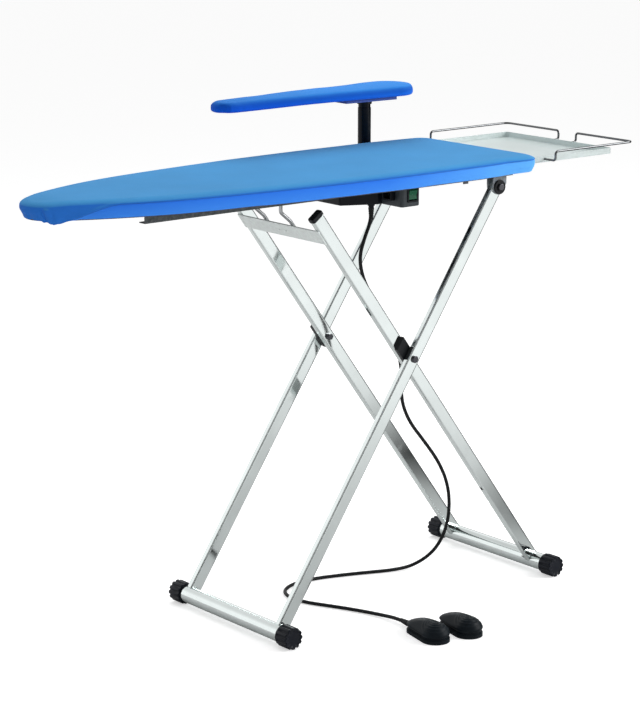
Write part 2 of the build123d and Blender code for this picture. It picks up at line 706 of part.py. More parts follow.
def rail():
    """A folded channel under the board, open towards the middle."""
    y0, y1 = -RAIL_OUTER_Y, -RAIL_OUTER_Y + RAIL_WIDE
    top = PAN_BOTTOM_Z
    s = RAIL_THICK
    solid = block(RAIL_NOSE_X, RAIL_TAIL_X, y0, y1, RAIL_BOTTOM_Z, top)
    return solid - block(RAIL_NOSE_X, RAIL_TAIL_X, y0 + s, y1, RAIL_BOTTOM_Z + s, top - s)


def height_rack():
    """A notched bar in the top of the rail that the hook rod is held under."""
    low = HOOK_ROD_CONTACT_Z + HOOK_ROD_D / 2 + SEAT_GAP
    y0 = -RAIL_OUTER_Y + RAIL_THICK + TOUCH
    rest = on_inner_axis(HOOK_ROD_CONTACT_Z).X
    rack = block(rest - RACK_REACH, rest + RACK_REACH, y0, y0 + RACK_WIDE, low, PAN_BOTTOM_Z - RAIL_THICK)
    radius = HOOK_ROD_D / 2 + SEAT_GAP
    for step in (-2, -1, 0, 1, 2):
        x = rest + step * RACK_NOTCH_PITCH
        rack -= rod_y(x, low + RACK_NOTCH_DEEP - radius, radius, y0, y0 + RACK_WIDE)
    return rack


def tail_faces():
    """Outer and inner faces of the near tail fork, along Y."""
    outer = -OUTER_LEG_FACE_Y - SEAT_GAP - BRACKET_SHEET
    inner = -OUTER_LEG_FACE_Y + LEG_THICK + SEAT_GAP + BRACKET_SHEET
    return outer, inner


def tail_bracket():
    """A strip under the board with a fork that straddles the outer leg's end."""
    outer, inner = tail_faces()
    top = PAN_BOTTOM_Z
    strip_y, half_strip = -OUTER_LEG_Y, BRACKET_STRIP_WIDE / 2
    strip = block(
        BRACKET_STRIP_NOSE_X, BRACKET_STRIP_TAIL_X,
        strip_y - half_strip, strip_y + half_strip,
        top - BRACKET_SHEET, top,
    )
    nose_side = TAIL_PIVOT_X + BRACKET_CHEEK_OFFSET - BRACKET_CHEEK_WIDE / 2
    tail_side = nose_side + BRACKET_CHEEK_WIDE
    web = block(nose_side, tail_side, outer, inner, top - 2 * BRACKET_SHEET, top - BRACKET_SHEET)
    bracket = strip + web
    corner_z = TAIL_PIVOT_Z + BRACKET_CORNER
    for y0 in (outer, inner - BRACKET_SHEET):
        outline = Polyline(
            (nose_side, y0, top - BRACKET_SHEET),
            (tail_side, y0, top - BRACKET_SHEET),
            (tail_side, y0, corner_z),
            (TAIL_PIVOT_X + BRACKET_CHEEK_ROUND, y0, TAIL_PIVOT_Z),
            (TAIL_PIVOT_X - BRACKET_CHEEK_ROUND, y0, TAIL_PIVOT_Z),
            (nose_side, y0, corner_z),
            close=True,
        )
        bracket += extrude(make_face(outline), BRACKET_SHEET, dir=(0, 1, 0))
        bracket += rod_y(TAIL_PIVOT_X, TAIL_PIVOT_Z, BRACKET_CHEEK_ROUND, y0, y0 + BRACKET_SHEET)
    bracket -= rod_y(TAIL_PIVOT_X, TAIL_PIVOT_Z, TAIL_BOLT_D / 2 + TOUCH, outer, inner)
    return bracket - rod_z(WING_SCREW_X, strip_y, WING_STUD_D / 2 + TOUCH, top - BRACKET_SHEET, top)


def tail_disc():
    outer, _ = tail_faces()
    face = outer - TOUCH - TAIL_DISC_THICK
    disc = rod_y(TAIL_PIVOT_X, TAIL_PIVOT_Z, TAIL_DISC_D / 2, face, outer - TOUCH)
    disc = fillet(disc.edges().group_by(Axis.Y)[0], 1.5)
    return disc - rod_y(TAIL_PIVOT_X, TAIL_PIVOT_Z, TAIL_BOLT_D / 2 + TOUCH, face, outer)


def tail_bolt():
    outer, inner = tail_faces()
    head_face = outer - 2 * TOUCH - TAIL_DISC_THICK
    shank = rod_y(TAIL_PIVOT_X, TAIL_PIVOT_Z, TAIL_BOLT_D / 2, head_face, inner + TAIL_NUT_HIGH)
    head = rod_y(TAIL_PIVOT_X, TAIL_PIVOT_Z, BOLT_HEAD_D / 2, head_face - BOLT_HEAD_HIGH, head_face)
    return shank + fillet(head.edges().group_by(Axis.Y)[0], 2.0)


def tail_nut():
    _, inner = tail_faces()
    start = inner + TOUCH
    bore = TAIL_BOLT_D + 2 * TOUCH
    return nut_y(TAIL_PIVOT_X, TAIL_PIVOT_Z, TAIL_NUT_ACROSS, bore, start, start + TAIL_NUT_HIGH)


def strip_wing_screw():
    """The small wing screw hanging from the tail bracket's strip."""
    seat = PAN_BOTTOM_Z - BRACKET_SHEET
    return wing_screw(WING_SCREW_X, -OUTER_LEG_Y, seat, BRACKET_SHEET, STRIP_WING_SPAN)


def wing_screw(x, y, seat_z, stud_up, span):
    """A stud with a boss and two wings, hanging below its seat."""
    top = seat_z - TOUCH
    low = top - WING_BOSS_HIGH
    screw = rod_z(x, y, WING_STUD_D / 2, low, seat_z + stud_up)
    screw += rod_z(x, y, WING_STUD_D, low, top)
    wing_low = low - WING_HIGH / 2
    half_span, half_thick = span / 2, WING_THICK / 2
    wing_top = wing_low + WING_HIGH
    return screw + block(x - half_span, x + half_span, y - half_thick, y + half_thick, wing_low, wing_top)


# Suction fan and control box

def housing_outline(inset, z):
    """The fan housing's plan: a box with one long slanting corner."""
    points = [
        (HOUSING_NOSE_X, HOUSING_FAR_Y),
        (HOUSING_TAIL_X, HOUSING_FAR_Y),
        (HOUSING_TAIL_X, HOUSING_NEAR_Y),
        (HOUSING_CHAMFER_X, HOUSING_NEAR_Y),
        (HOUSING_NOSE_X, HOUSING_CHAMFER_Y),
    ]
    face = make_face(Polyline(*points, close=True))
    if inset > 0:
        face = offset(face, -inset, kind=Kind.INTERSECTION)
    return Pos(0, 0, z) * face.face()


def housing_slab(inset, z0, z1):
    return extrude(housing_outline(inset, z0), z1 - z0, dir=(0, 0, 1))


def fan_housing():
    """The moulded shell that hangs the suction fan under the pan."""
    top = PAN_BOTTOM_Z - GASKET_HIGH
    outside = housing_slab(0, HOUSING_BOTTOM_Z, top)
    outside = fillet(outside.edges().filter_by(Axis.Z), 6)
    outside = fillet(outside.edges().group_by(Axis.Z)[0], 4)
    shell = outside - housing_slab(HOUSING_WALL, HOUSING_BOTTOM_Z + HOUSING_WALL, top)
    pitch = (HOUSING_TAIL_X - HOUSING_NOSE_X) / (OUTLET_SLOTS + 2)
    for slot in range(OUTLET_SLOTS):
        x = HOUSING_NOSE_X + (slot + 1.5) * pitch
        low, high = HOUSING_BOTTOM_Z + 14, top - 14
        inner_y = HOUSING_FAR_Y - 2 * HOUSING_WALL
        shell -= block(x - pitch / 4, x + pitch / 4, inner_y, HOUSING_FAR_Y + 1, low, high)
    x, y, _ = CABLE_ROUTE[0]
    return shell - rod_z(x, y, CABLE_D / 2 + 1, HOUSING_BOTTOM_Z, HOUSING_BOTTOM_Z + HOUSING_WALL)


def fan_gasket():
    top = PAN_BOTTOM_Z - TOUCH
    ring = housing_slab(HOUSING_WALL / 2, top - GASKET_HIGH + 2 * TOUCH, top)
    ring -= housing_slab(3 * HOUSING_WALL, top - GASKET_HIGH + 2 * TOUCH, top)
    return ring


def motor_top():
    return HOUSING_BOTTOM_Z + HOUSING_WALL + TOUCH + MOTOR_HIGH


def fan_motor():
    """A flat motor on the housing's floor, with a bored nose for its shaft."""
    low = HOUSING_BOTTOM_Z + HOUSING_WALL + TOUCH
    can = rod_z(FAN_X, FAN_Y, MOTOR_D / 2, low, motor_top())
    can = fillet(can.edges().group_by(Axis.Z)[-1], 3)
    foot_half = MOTOR_D / 2 + 8
    can += block(FAN_X - foot_half, FAN_X + foot_half, FAN_Y - 8, FAN_Y + 8, low, low + 3)
    return can - rod_z(FAN_X, FAN_Y, SHAFT_D / 2 + RUNNING_FIT, low + 4, motor_top())


def fan_impeller():
    """The centrifugal wheel and its shaft, mouth up under the suction port."""
    low = motor_top() + 1.5
    top = low + FAN_HIGH
    wheel = rod_z(FAN_X, FAN_Y, FAN_D / 2, low, low + 2)
    wheel += rod_z(FAN_X, FAN_Y, 10, low, low + 12)
    mouth = FAN_D / 2 - 24
    wheel += rod_z(FAN_X, FAN_Y, FAN_D / 2, top - 1.5, top) - rod_z(FAN_X, FAN_Y, mouth, top - 1.5, top)
    blade = Pos(FAN_D / 2 - 15, 0, low + FAN_HIGH / 2) * Rot(0, 0, 35) * Box(FAN_BLADE_LONG, FAN_BLADE_THICK, FAN_HIGH - 1)
    for turn in range(FAN_BLADES):
        wheel += Pos(FAN_X, FAN_Y, 0) * Rot(0, 0, turn * 360 / FAN_BLADES) * blade
    return wheel + rod_z(FAN_X, FAN_Y, SHAFT_D / 2, motor_top() - 16, low + 2)


def switch_slab(half_wide, half_high, y0, y1):
    """A slab centred on the switch, square to the near wall of the control box."""
    z0, z1 = SWITCH_Z - half_high, SWITCH_Z + half_high
    return block(SWITCH_X - half_wide, SWITCH_X + half_wide, y0, y1, z0, z1)


def inlet_slab(half_wide, half_high, x0, x1):
    """A slab centred on the mains inlet, square to the nose wall of the control box."""
    return block(x0, x1, INLET_Y - half_wide, INLET_Y + half_wide, INLET_Z - half_high, INLET_Z + half_high)


def control_box():
    """The switch box, open at the top against the pan."""
    s = BOX_WALL
    outside = block(BOX_NOSE_X, BOX_TAIL_X, BOX_NEAR_Y, BOX_FAR_Y, HOUSING_BOTTOM_Z, PAN_BOTTOM_Z)
    uprights = outside.edges().filter_by(Axis.Z).sort_by(Axis.Y)[:2]
    outside = fillet(uprights, BOX_CORNER)
    outside = fillet(outside.faces().sort_by(Axis.Z)[0].edges(), 3)
    inside = block(
        BOX_NOSE_X + s, BOX_TAIL_X - s, BOX_NEAR_Y + s, BOX_FAR_Y - s,
        HOUSING_BOTTOM_Z + s, PAN_BOTTOM_Z,
    )
    inside = fillet(inside.edges().filter_by(Axis.Z), BOX_CORNER - s)
    shell = outside - inside
    lip = PANEL_LIP
    shell -= switch_slab(BEZEL_WIDE / 2 - lip, BEZEL_HIGH / 2 - lip, BOX_NEAR_Y, BOX_NEAR_Y + s)
    return shell - inlet_slab(INLET_WIDE / 2 - lip, INLET_HIGH / 2 - lip, BOX_NOSE_X, BOX_NOSE_X + s)


def pin_x(radius, length):
    """A round pin along X on the rocker's axis."""
    return Pos(SWITCH_X, ROCKER_PIVOT_Y, SWITCH_Z) * Rot(0, 90, 0) * Cylinder(radius, length)


def switch_frame():
    """The switch's body: a flanged sleeve through the box wall that carries the rocker."""
    y0 = BOX_NEAR_Y - TOUCH - BEZEL_THICK
    y1 = BOX_NEAR_Y + ROCKER_DEEP + 4
    flange = switch_slab(BEZEL_WIDE / 2, BEZEL_HIGH / 2, y0, y0 + BEZEL_THICK)
    flange = fillet(flange.edges().filter_by(Axis.Y), 2.5)
    lip = PANEL_LIP + TOUCH
    sleeve = switch_slab(BEZEL_WIDE / 2 - lip, BEZEL_HIGH / 2 - lip, y0, y1)
    room = switch_slab(ROCKER_WIDE / 2 + SEAT_GAP, ROCKER_HIGH / 2 + SEAT_GAP, y0, y1 - 2)
    return flange + sleeve - room + pin_x(ROCKER_PIN_D / 2, BEZEL_WIDE - 5)


def rocker():
    """The green rocker, a shallow V face on a cross pin, resting with one end pressed in."""
    radius = ROCKER_HIGH / 2 - 0.4
    front, back = BOX_NEAR_Y - BEZEL_THICK - 1.5, ROCKER_PIVOT_Y + 6
    keep = Polyline(
        (0, front, SWITCH_Z + radius),
        (0, front + ROCKER_HOLLOW, SWITCH_Z),
        (0, front, SWITCH_Z - radius),
        (0, back, SWITCH_Z - radius),
        (0, back, SWITCH_Z + radius),
        close=True,
    )
    prism = extrude(make_face(keep), SWITCH_X + ROCKER_WIDE, dir=(1, 0, 0))
    pivot = Axis((SWITCH_X, ROCKER_PIVOT_Y, SWITCH_Z), (1, 0, 0))
    body = (pin_x(radius, ROCKER_WIDE) & prism).rotate(pivot, ROCKER_TURN)
    return body - pin_x(ROCKER_PIN_D / 2 + RUNNING_FIT, ROCKER_WIDE)


def mains_inlet():
    """A mains inlet socket with three pins, facing the nose."""
    x0, x1 = BOX_NOSE_X - INLET_PROUD, BOX_NOSE_X - TOUCH
    half_wide, half_high = INLET_WIDE / 2, INLET_HIGH / 2
    flange = inlet_slab(half_wide, half_high, x0, x1)
    flange = fillet(flange.edges().filter_by(Axis.X), 3)
    lip = PANEL_LIP + TOUCH
    body = inlet_slab(half_wide - lip, half_high - lip, x1, BOX_NOSE_X + INLET_BODY_DEEP)
    rim = INLET_RIM
    well = inlet_slab(half_wide - rim, half_high - rim, x0, BOX_NOSE_X + INLET_WELL_DEEP)
    inlet = flange + body - well
    for dy, dz in INLET_PINS:
        y, z = INLET_Y + dy, INLET_Z + dz
        inlet += block(x0 + 6, BOX_NOSE_X + INLET_WELL_DEEP + 1, y - 1, y + 1, z - 2, z + 2)
    return inlet


def terminal_block():
    """A screw terminal strip on the floor of the control box."""
    low = HOUSING_BOTTOM_Z + BOX_WALL + TOUCH
    x0, x1 = BOX_NOSE_X + 12, BOX_TAIL_X - 8
    y0 = BOX_FAR_Y - BOX_WALL - 16
    strip = block(x0, x1, y0, y0 + TERMINAL_WIDE, low, low + TERMINAL_HIGH)
    pitch = (x1 - x0) / TERMINAL_SCREWS
    for screw in range(TERMINAL_SCREWS):
        x = x0 + (screw + 0.5) * pitch
        strip -= rod_z(x, y0 + TERMINAL_WIDE / 2, 2, low + TERMINAL_HIGH / 2, low + TERMINAL_HIGH)
    return strip


def cable_gland():
    """The gland under the fan housing that the pedal cable leaves through."""
    x, y, z = CABLE_ROUTE[0]
    top = HOUSING_BOTTOM_Z - TOUCH
    gland = rod_z(x, y, GLAND_D / 2, top - GLAND_HIGH / 2, top) + rod_z(x, y, GLAND_D / 2 - 2, z, top)
    gland += rod_z(x, y, CABLE_D / 2 + 1 - TOUCH, top, HOUSING_BOTTOM_Z + HOUSING_WALL)
    return gland


# Sleeve board and its post

def duct_port_x():
    return POST_X + (DUCT_TAIL_SIDE - DUCT_NOSE_SIDE) / 2


def duct_heights():
    """Bottom and top of the duct, which passes under the far bracket's strip."""
    top = PAN_BOTTOM_Z - BRACKET_SHEET - TOUCH
    return top - DUCT_HIGH, top


def sleeve_duct():
    """The flat duct from the pan to the post's socket, which also carries the post."""
    low, top = duct_heights()
    x0, x1 = POST_X - DUCT_NOSE_SIDE, POST_X + DUCT_TAIL_SIDE
    outer = POST_Y - SOCKET_D / 2 + 2
    upstand_end = OUTER_LEG_Y - BRACKET_STRIP_WIDE / 2 - 1
    s = DUCT_SHEET
    shape = block(x0, x1, DUCT_INNER_Y, outer, low, top)
    shape += block(x0, x1, DUCT_INNER_Y, upstand_end, low, PAN_BOTTOM_Z)
    shape += rod_z(POST_X, POST_Y, SOCKET_D / 2, SOCKET_BOTTOM_Z, SOCKET_TOP_Z)
    shape -= block(x0 + s, x1 - s, DUCT_INNER_Y + s, outer - s, low + s, top - s)
    shape -= rod_z(duct_port_x(), DUCT_PORT_Y, DUCT_PORT_D / 2, top - s, PAN_BOTTOM_Z)
    shape -= block(POST_X - 8, POST_X + 8, outer - 10, POST_Y, low + s + 1, top - s - 1)
    return shape - rod_z(POST_X, POST_Y, POST_D / 2 + TOUCH, SOCKET_BOTTOM_Z + 3, SOCKET_TOP_Z)


def sleeve_post():
    """The black tube with a neck and a hollow spigot for the sleeve board."""
    low = SOCKET_BOTTOM_Z + 3 + TOUCH
    neck_top = POST_TOP_Z + NECK_HIGH - SEAT_GAP
    post = rod_z(POST_X, POST_Y, POST_D / 2, low, POST_TOP_Z)
    post = fillet(post.edges().group_by(Axis.Z)[-1], 0.8)
    post += rod_z(POST_X, POST_Y, NECK_D / 2, POST_TOP_Z, neck_top)
    post += rod_z(POST_X, POST_Y, SPIGOT_D / 2, neck_top, neck_top + SPIGOT_HIGH)
    post -= rod_z(POST_X, POST_Y, POST_D / 2 - POST_WALL, low, POST_TOP_Z - POST_WALL)
    post -= rod_z(POST_X, POST_Y, SPIGOT_D / 2 - POST_WALL, POST_TOP_Z - POST_WALL, neck_top + SPIGOT_HIGH)
    duct_low, duct_top = duct_heights()
    port_low, port_high = duct_low + DUCT_SHEET + 1, duct_top - DUCT_SHEET - 1
    return post - block(POST_X - 8, POST_X + 8, POST_Y - POST_D, POST_Y, port_low, port_high)


def egg_outline(small_x, small_r, large_x, large_r, inset):
    """Two circles on the X axis joined by the straight lines that touch both."""
    lean = math.asin((large_r - small_r) / abs(large_x - small_x))
    side = 1 if large_x > small_x else -1
    out = Vector(-side * math.sin(lean), math.cos(lean))
    r0, r1 = small_r - inset, large_r - inset
    a, b = Vector(small_x, 0) + out * r0, Vector(large_x, 0) + out * r1
    small_arc = ThreePointArc((a.X, -a.Y), (small_x - side * r0, 0), (a.X, a.Y))
    large_arc = ThreePointArc((b.X, b.Y), (large_x + side * r1, 0), (b.X, -b.Y))
    upper = Line((a.X, a.Y), (b.X, b.Y))
    lower = Line((b.X, -b.Y), (a.X, -a.Y))
    return make_face([small_arc, upper, large_arc, lower]).face()


def sleeve_outline(inset, z):
    """The sleeve board's plan: two round ends joined by straight sides."""
    face = egg_outline(SLEEVE_NOSE_CENTRE_X, SLEEVE_NOSE_R, SLEEVE_TAIL_CENTRE_X, SLEEVE_TAIL_R, inset)
    return Pos(0, POST_Y, z) * face


def sleeve_layer(inset, z0, z1):
    return extrude(sleeve_outline(inset, z0), z1 - z0, dir=(0, 0, 1))


def sleeve_sump(shrink, z0, z1):
    """The deeper part of the sleeve board's chamber, round the post."""
    nose, tail = POST_X - SLEEVE_SUMP_TO_NOSE, POST_X + SLEEVE_SUMP_TO_TAIL
    wide = SLEEVE_TAIL_R
    box = block(nose + shrink, tail - shrink, POST_Y - wide, POST_Y + wide, z0, z1)
    return sleeve_layer(SLEEVE_SUMP_INSET + shrink, z0, z1) & box


def sleeve_collar():
    low = POST_TOP_Z + NECK_HIGH
    collar = rod_z(POST_X, POST_Y, COLLAR_D / 2, low, low + COLLAR_HIGH - TOUCH)
    return collar - rod_z(POST_X, POST_Y, SPIGOT_D / 2 + RUNNING_FIT, low, low + COLLAR_HIGH)


def sleeve_pan():
    """The sleeve board's own small vacuum chamber."""
    low, floor = SLEEVE_SEAT_Z, SLEEVE_PAN_FLOOR_Z
    pan = sleeve_layer(SLEEVE_PAN_INSET, floor, SLEEVE_PAN_RIM_Z) + sleeve_sump(0, low, floor)
    pan -= sleeve_layer(SLEEVE_PAN_INSET + PAN_SHEET, floor + PAN_SHEET, SLEEVE_PAN_RIM_Z)
    pan -= sleeve_sump(PAN_SHEET, low + PAN_SHEET, floor + PAN_SHEET)
    return pan - rod_z(POST_X, POST_Y, SPIGOT_D / 2 + SEAT_GAP, low, low + PAN_SHEET)


def sleeve_plate():
    """The perforated lid of the sleeve board's chamber."""
    face = sleeve_outline(SLEEVE_PAN_INSET, SLEEVE_PAN_RIM_Z + TOUCH)
    start, end = SLEEVE_NOSE_CENTRE_X, SLEEVE_TAIL_CENTRE_X
    count = int((end - start) // PLATE_HOLE_PITCH)
    holes = []
    for column in range(count + 1):
        for row in (-0.5, 0.5):
            x = start + column * (end - start) / count
            y = POST_Y + row * SLEEVE_NOSE_R
            holes.append(Pos(x, y, SLEEVE_PAN_RIM_Z + TOUCH) * Circle(PLATE_HOLE_D / 2))
    return extrude(face - holes, PLATE_THICK, dir=(0, 0, 1))


def sleeve_cover():
    """The blue cover and pad of the sleeve board, hemmed under its edge."""
    pad = crowned_pad(sleeve_outline, SLEEVE_HEM_Z, SLEEVE_TOP_Z, 6.0, SLEEVE_CROWN, 2.0)
    room_top = SLEEVE_PAN_RIM_Z + TOUCH + PLATE_THICK + TOUCH
    return pad - sleeve_layer(SLEEVE_PAN_INSET - SEAT_GAP, SLEEVE_HEM_Z, room_top)


# Iron tray

def iron_tray():
    """A shallow folded sheet tray."""
    s, half = TRAY_SHEET, TRAY_HALF_WIDTH
    tray = block(TRAY_NOSE_X, TRAY_TAIL_X, -half, half, TRAY_FLOOR_Z - s, TRAY_RIM_Z)
    tray = fillet(tray.edges().filter_by(Axis.Z), TRAY_CORNER)
    room = block(TRAY_NOSE_X + s, TRAY_TAIL_X - s, -half + s, half - s, TRAY_FLOOR_Z, TRAY_RIM_Z)
    room = fillet(room.edges().filter_by(Axis.Z), TRAY_CORNER - s)
    return tray - room


def guard_wire(side, gap_y):
    """One bent wire of the guard rail, from the tray's side to its tail wall."""
    y = side * GUARD_HALF_WIDTH
    tray_y = side * (TRAY_HALF_WIDTH + TOUCH)
    tail = TRAY_TAIL_X + TOUCH
    points = [
        (GUARD_NOSE_X, tray_y, GUARD_LOW_Z),
        (GUARD_NOSE_X, y, GUARD_LOW_Z),
        (GUARD_NOSE_X, y, GUARD_TOP_Z),
        (GUARD_TAIL_X, y, GUARD_TOP_Z),
        (GUARD_TAIL_X, gap_y, GUARD_TOP_Z),
        (GUARD_TAIL_X, gap_y, GUARD_LOW_Z),
        (tail, gap_y, GUARD_LOW_Z),
    ]
    small = GUARD_BEND / 2
    return wire_tube(points, [small, small, GUARD_BEND, small, small], GUARD_WIRE_D)


def tray_arm():
    """A flat bar that carries the tray and slides in a clamp under the board."""
    top = TRAY_FLOOR_Z - TRAY_SHEET - TOUCH
    low = TRAY_ARM_BOARD_Z
    thick = TRAY_ARM_THICK
    jog = top - thick - low
    y0 = -TRAY_ARM_Y - TRAY_ARM_WIDE / 2
    outline = Polyline(
        (TRAY_ARM_NOSE_X, y0, low),
        (TRAY_ARM_JOG_X - jog / 2, y0, low),
        (TRAY_ARM_JOG_X + jog / 2, y0, low + jog),
        (TRAY_TAIL_X - 20, y0, low + jog),
        (TRAY_TAIL_X - 20, y0, top),
        (TRAY_ARM_JOG_X + jog / 2 - thick / 2, y0, top),
        (TRAY_ARM_JOG_X - jog / 2 - thick / 2, y0, low + thick),
        (TRAY_ARM_NOSE_X, y0, low + thick),
        close=True,
    )
    return extrude(make_face(outline), TRAY_ARM_WIDE, dir=(0, 1, 0))


def tray_clamp():
    """A folded saddle under the board that the arm slides through."""
    gap = CLAMP_CLEARANCE
    y0, y1 = -TRAY_ARM_Y - TRAY_ARM_WIDE / 2 - gap, -TRAY_ARM_Y + TRAY_ARM_WIDE / 2 + gap
    z0, z1 = TRAY_ARM_BOARD_Z - gap, TRAY_ARM_BOARD_Z + TRAY_ARM_THICK + gap
    s = CLAMP_SHEET
    x0, x1 = CLAMP_X - CLAMP_LONG / 2, CLAMP_X + CLAMP_LONG / 2
    saddle = block(x0, x1, y0 - s, y1 + s, z0 - s, PAN_BOTTOM_Z)
    saddle -= block(x0, x1, y0, y1, z0, z1)
    return saddle - rod_z(CLAMP_X, -TRAY_ARM_Y, WING_STUD_D / 2 + TOUCH, z0 - s, z0)


def tray_wing_screw():
    seat = TRAY_ARM_BOARD_Z - CLAMP_CLEARANCE - CLAMP_SHEET
    return wing_screw(CLAMP_X, -TRAY_ARM_Y, seat, CLAMP_SHEET, TRAY_WING_SPAN)


# Foot pedals

def pedal_at(x, y, shape):
    """Turn a pedal piece a little and set it on its place on the floor."""
    return Pos(x, y, 0) * Rot(0, 0, PEDAL_TURN) * shape


def pedal_outline(inset, z):
    """A pedal's plan: a round toe towards the near side and a narrower heel."""
    toe_r = PEDAL_WIDE / 2
    toe = PEDAL_LONG / 2 - toe_r
    heel = PEDAL_LONG / 2 - PEDAL_HEEL_R
    return Pos(0, 0, z) * Rot(0, 0, -90) * egg_outline(-heel, PEDAL_HEEL_R, toe, toe_r, inset)


def pedal_base():
    """A flat tray on the floor, with an upstand that the cap slides over."""
    base = extrude(pedal_outline(0, 0), PEDAL_BASE_HIGH - PEDAL_RIM)
    base += extrude(pedal_outline(PEDAL_RIM, 0), PEDAL_BASE_HIGH)
    upstand = PEDAL_CAP_WALL + SEAT_GAP
    top = PEDAL_BASE_HIGH + PEDAL_UPSTAND
    base += extrude(pedal_outline(upstand, 0), top)
    return base - extrude(pedal_outline(upstand + PEDAL_UPSTAND_WALL, PEDAL_FLOOR), top)


def grommet_bore():
    """The hole in the left base's heel that the cable's sleeve sits in."""
    heel = PEDAL_LONG / 2
    return rod_y(0, GROMMET_Z, GROMMET_D / 2 + TOUCH, heel - 15, heel + 5)


def grommet_way():
    """The opening in the left cap's heel that clears the cable's sleeve when pressed."""
    heel, half = PEDAL_LONG / 2, GROMMET_D / 2 + 1.5
    return block(-half, half, heel - 16, heel + 5, 0, GROMMET_Z + half + PEDAL_TRAVEL)


def pedal_dome(low, high, wall, grow):
    """The pedal's domed body, as a stack of its outline drawn in step by step."""
    sections = []
    for share, inset in PEDAL_DOME:
        z = low + (high - low) * share
        sections.append(pedal_outline(wall + inset - grow, z))
    return loft(sections, ruled=True)


def pedal_cap():
    """The domed rubber pedal with raised rings over its toe and a presser inside."""
    low = PEDAL_BASE_HIGH + PEDAL_TRAVEL + SEAT_GAP
    cap = pedal_dome(low, PEDAL_CAP_HIGH, 0, 0)
    skin = pedal_dome(low, PEDAL_CAP_HIGH + PEDAL_RING_PROUD, 0, PEDAL_RING_PROUD)
    toe_y = PEDAL_WIDE / 2 - PEDAL_LONG / 2
    for ring in range(1, PEDAL_RINGS + 1):
        radius = ring * PEDAL_RING_PITCH
        band = rod_z(0, toe_y, radius + 1, low + 8, PEDAL_CAP_HIGH + 5)
        band -= rod_z(0, toe_y, radius - 1, low + 8, PEDAL_CAP_HIGH + 5)
        cap += skin & band
    inside_top = PEDAL_CAP_HIGH - PEDAL_CAP_WALL
    cap -= pedal_dome(low, inside_top, PEDAL_CAP_WALL, 0)
    plunger_top = PEDAL_FLOOR + SWITCH_BODY_HIGH + PLUNGER_HIGH
    presser_low = plunger_top + PEDAL_TRAVEL + SEAT_GAP
    return cap + rod_z(0, SWITCH_BODY_Y, PRESSER_D / 2, presser_low, inside_top + 1)


def pedal_switch():
    """The snap switch under the middle of the pedal, with its plunger."""
    half_long, half_wide = SWITCH_BODY_LONG / 2, SWITCH_BODY_WIDE / 2
    low, top = PEDAL_FLOOR + TOUCH, PEDAL_FLOOR + SWITCH_BODY_HIGH
    body = block(-half_long, half_long, SWITCH_BODY_Y - half_wide, SWITCH_BODY_Y + half_wide, low, top)
    return body + rod_z(0, SWITCH_BODY_Y, PLUNGER_D / 2, top, top + PLUNGER_HIGH)


def pedal_spring():
    """The return spring's outer shape at its pressed length, standing on the base."""
    low = PEDAL_FLOOR + TOUCH
    top = PEDAL_CAP_HIGH - PEDAL_CAP_WALL - PEDAL_TRAVEL - SEAT_GAP
    spring = rod_z(0, SPRING_Y, SPRING_D / 2, low, top)
    return spring - rod_z(0, SPRING_Y, SPRING_D / 2 - SPRING_WIRE, low, top)


def cable_grommet():
    """The soft sleeve in the left pedal's heel that the cable ends at."""
    heel = PEDAL_LONG / 2
    inner = heel - PEDAL_CAP_WALL - 3
    sleeve = rod_y(0, GROMMET_Z, GROMMET_D / 2, inner, heel + GROMMET_PROUD)
    return pedal_at(PEDAL_LEFT_X, PEDAL_LEFT_Y, sleeve)


def pedal_link(slack):
    """The short sleeve that takes the wires from the left pedal across to the right one."""
    x0, x1 = PEDAL_LEFT_X + PEDAL_HEEL_R, PEDAL_RIGHT_X - PEDAL_HEEL_R
    centre = ((x0 + x1) / 2, PEDAL_LINK_Y, PEDAL_LINK_Z)
    return Pos(*centre) * Rot(0, 90, 0) * Cylinder(PEDAL_LINK_D / 2 + slack, x1 - x0 + 2 * slack)


# Cable

def cable_radii(route):
    """The largest arc that each corner of the route allows."""
    radii = []
    for before, corner, after in zip(route, route[1:], route[2:]):
        first = Vector(*corner) - Vector(*before)
        second = Vector(*after) - Vector(*corner)
        turn = math.radians(first.get_angle(second))
        radii.append(0.45 * min(first.length, second.length) / math.tan(turn / 2))
    return radii


def pedal_cable():
    radii = cable_radii(CABLE_ROUTE)
    cable = wire_tube(CABLE_ROUTE, radii, CABLE_D)
    path = FilletPolyline(*CABLE_ROUTE, radius=radii)
    expected = path.length * math.pi * CABLE_D ** 2 / 4
    print("cable length", round(path.length, 1), "least radius", round(min(radii), 1))
    print("cable radii", [round(radius) for radius in radii])
    print("cable volume over section times length", round(cable.volume / expected, 5))
    return cable


def write_frames():
    pieces("outer_leg_near", outer_leg())
    pieces("outer_leg_far", far(outer_leg()))
    pieces("outer_foot_tube", foot_tube(HEAD_FOOT))
    pieces("outer_foot_caps", *pair(foot_cap(HEAD_FOOT)))
    pieces("inner_leg_near", inner_leg())
    pieces("inner_leg_far", far(inner_leg()))
    pieces("inner_foot_tube", foot_tube(TAIL_FOOT))
    pieces("inner_foot_caps", *pair(foot_cap(TAIL_FOOT)))
    pieces("leg_top_caps", *pair(leg_cap()))
    pieces("cross_plate", cross_plate())
    pieces("hook_rods", *pair(hook_rod()))
    pieces("pivot_bolts", *pair(mid_bolt()))
    pieces("pivot_nuts", *pair(mid_nut()))
    pieces("pivot_spacers", *pair(mid_spacer()))


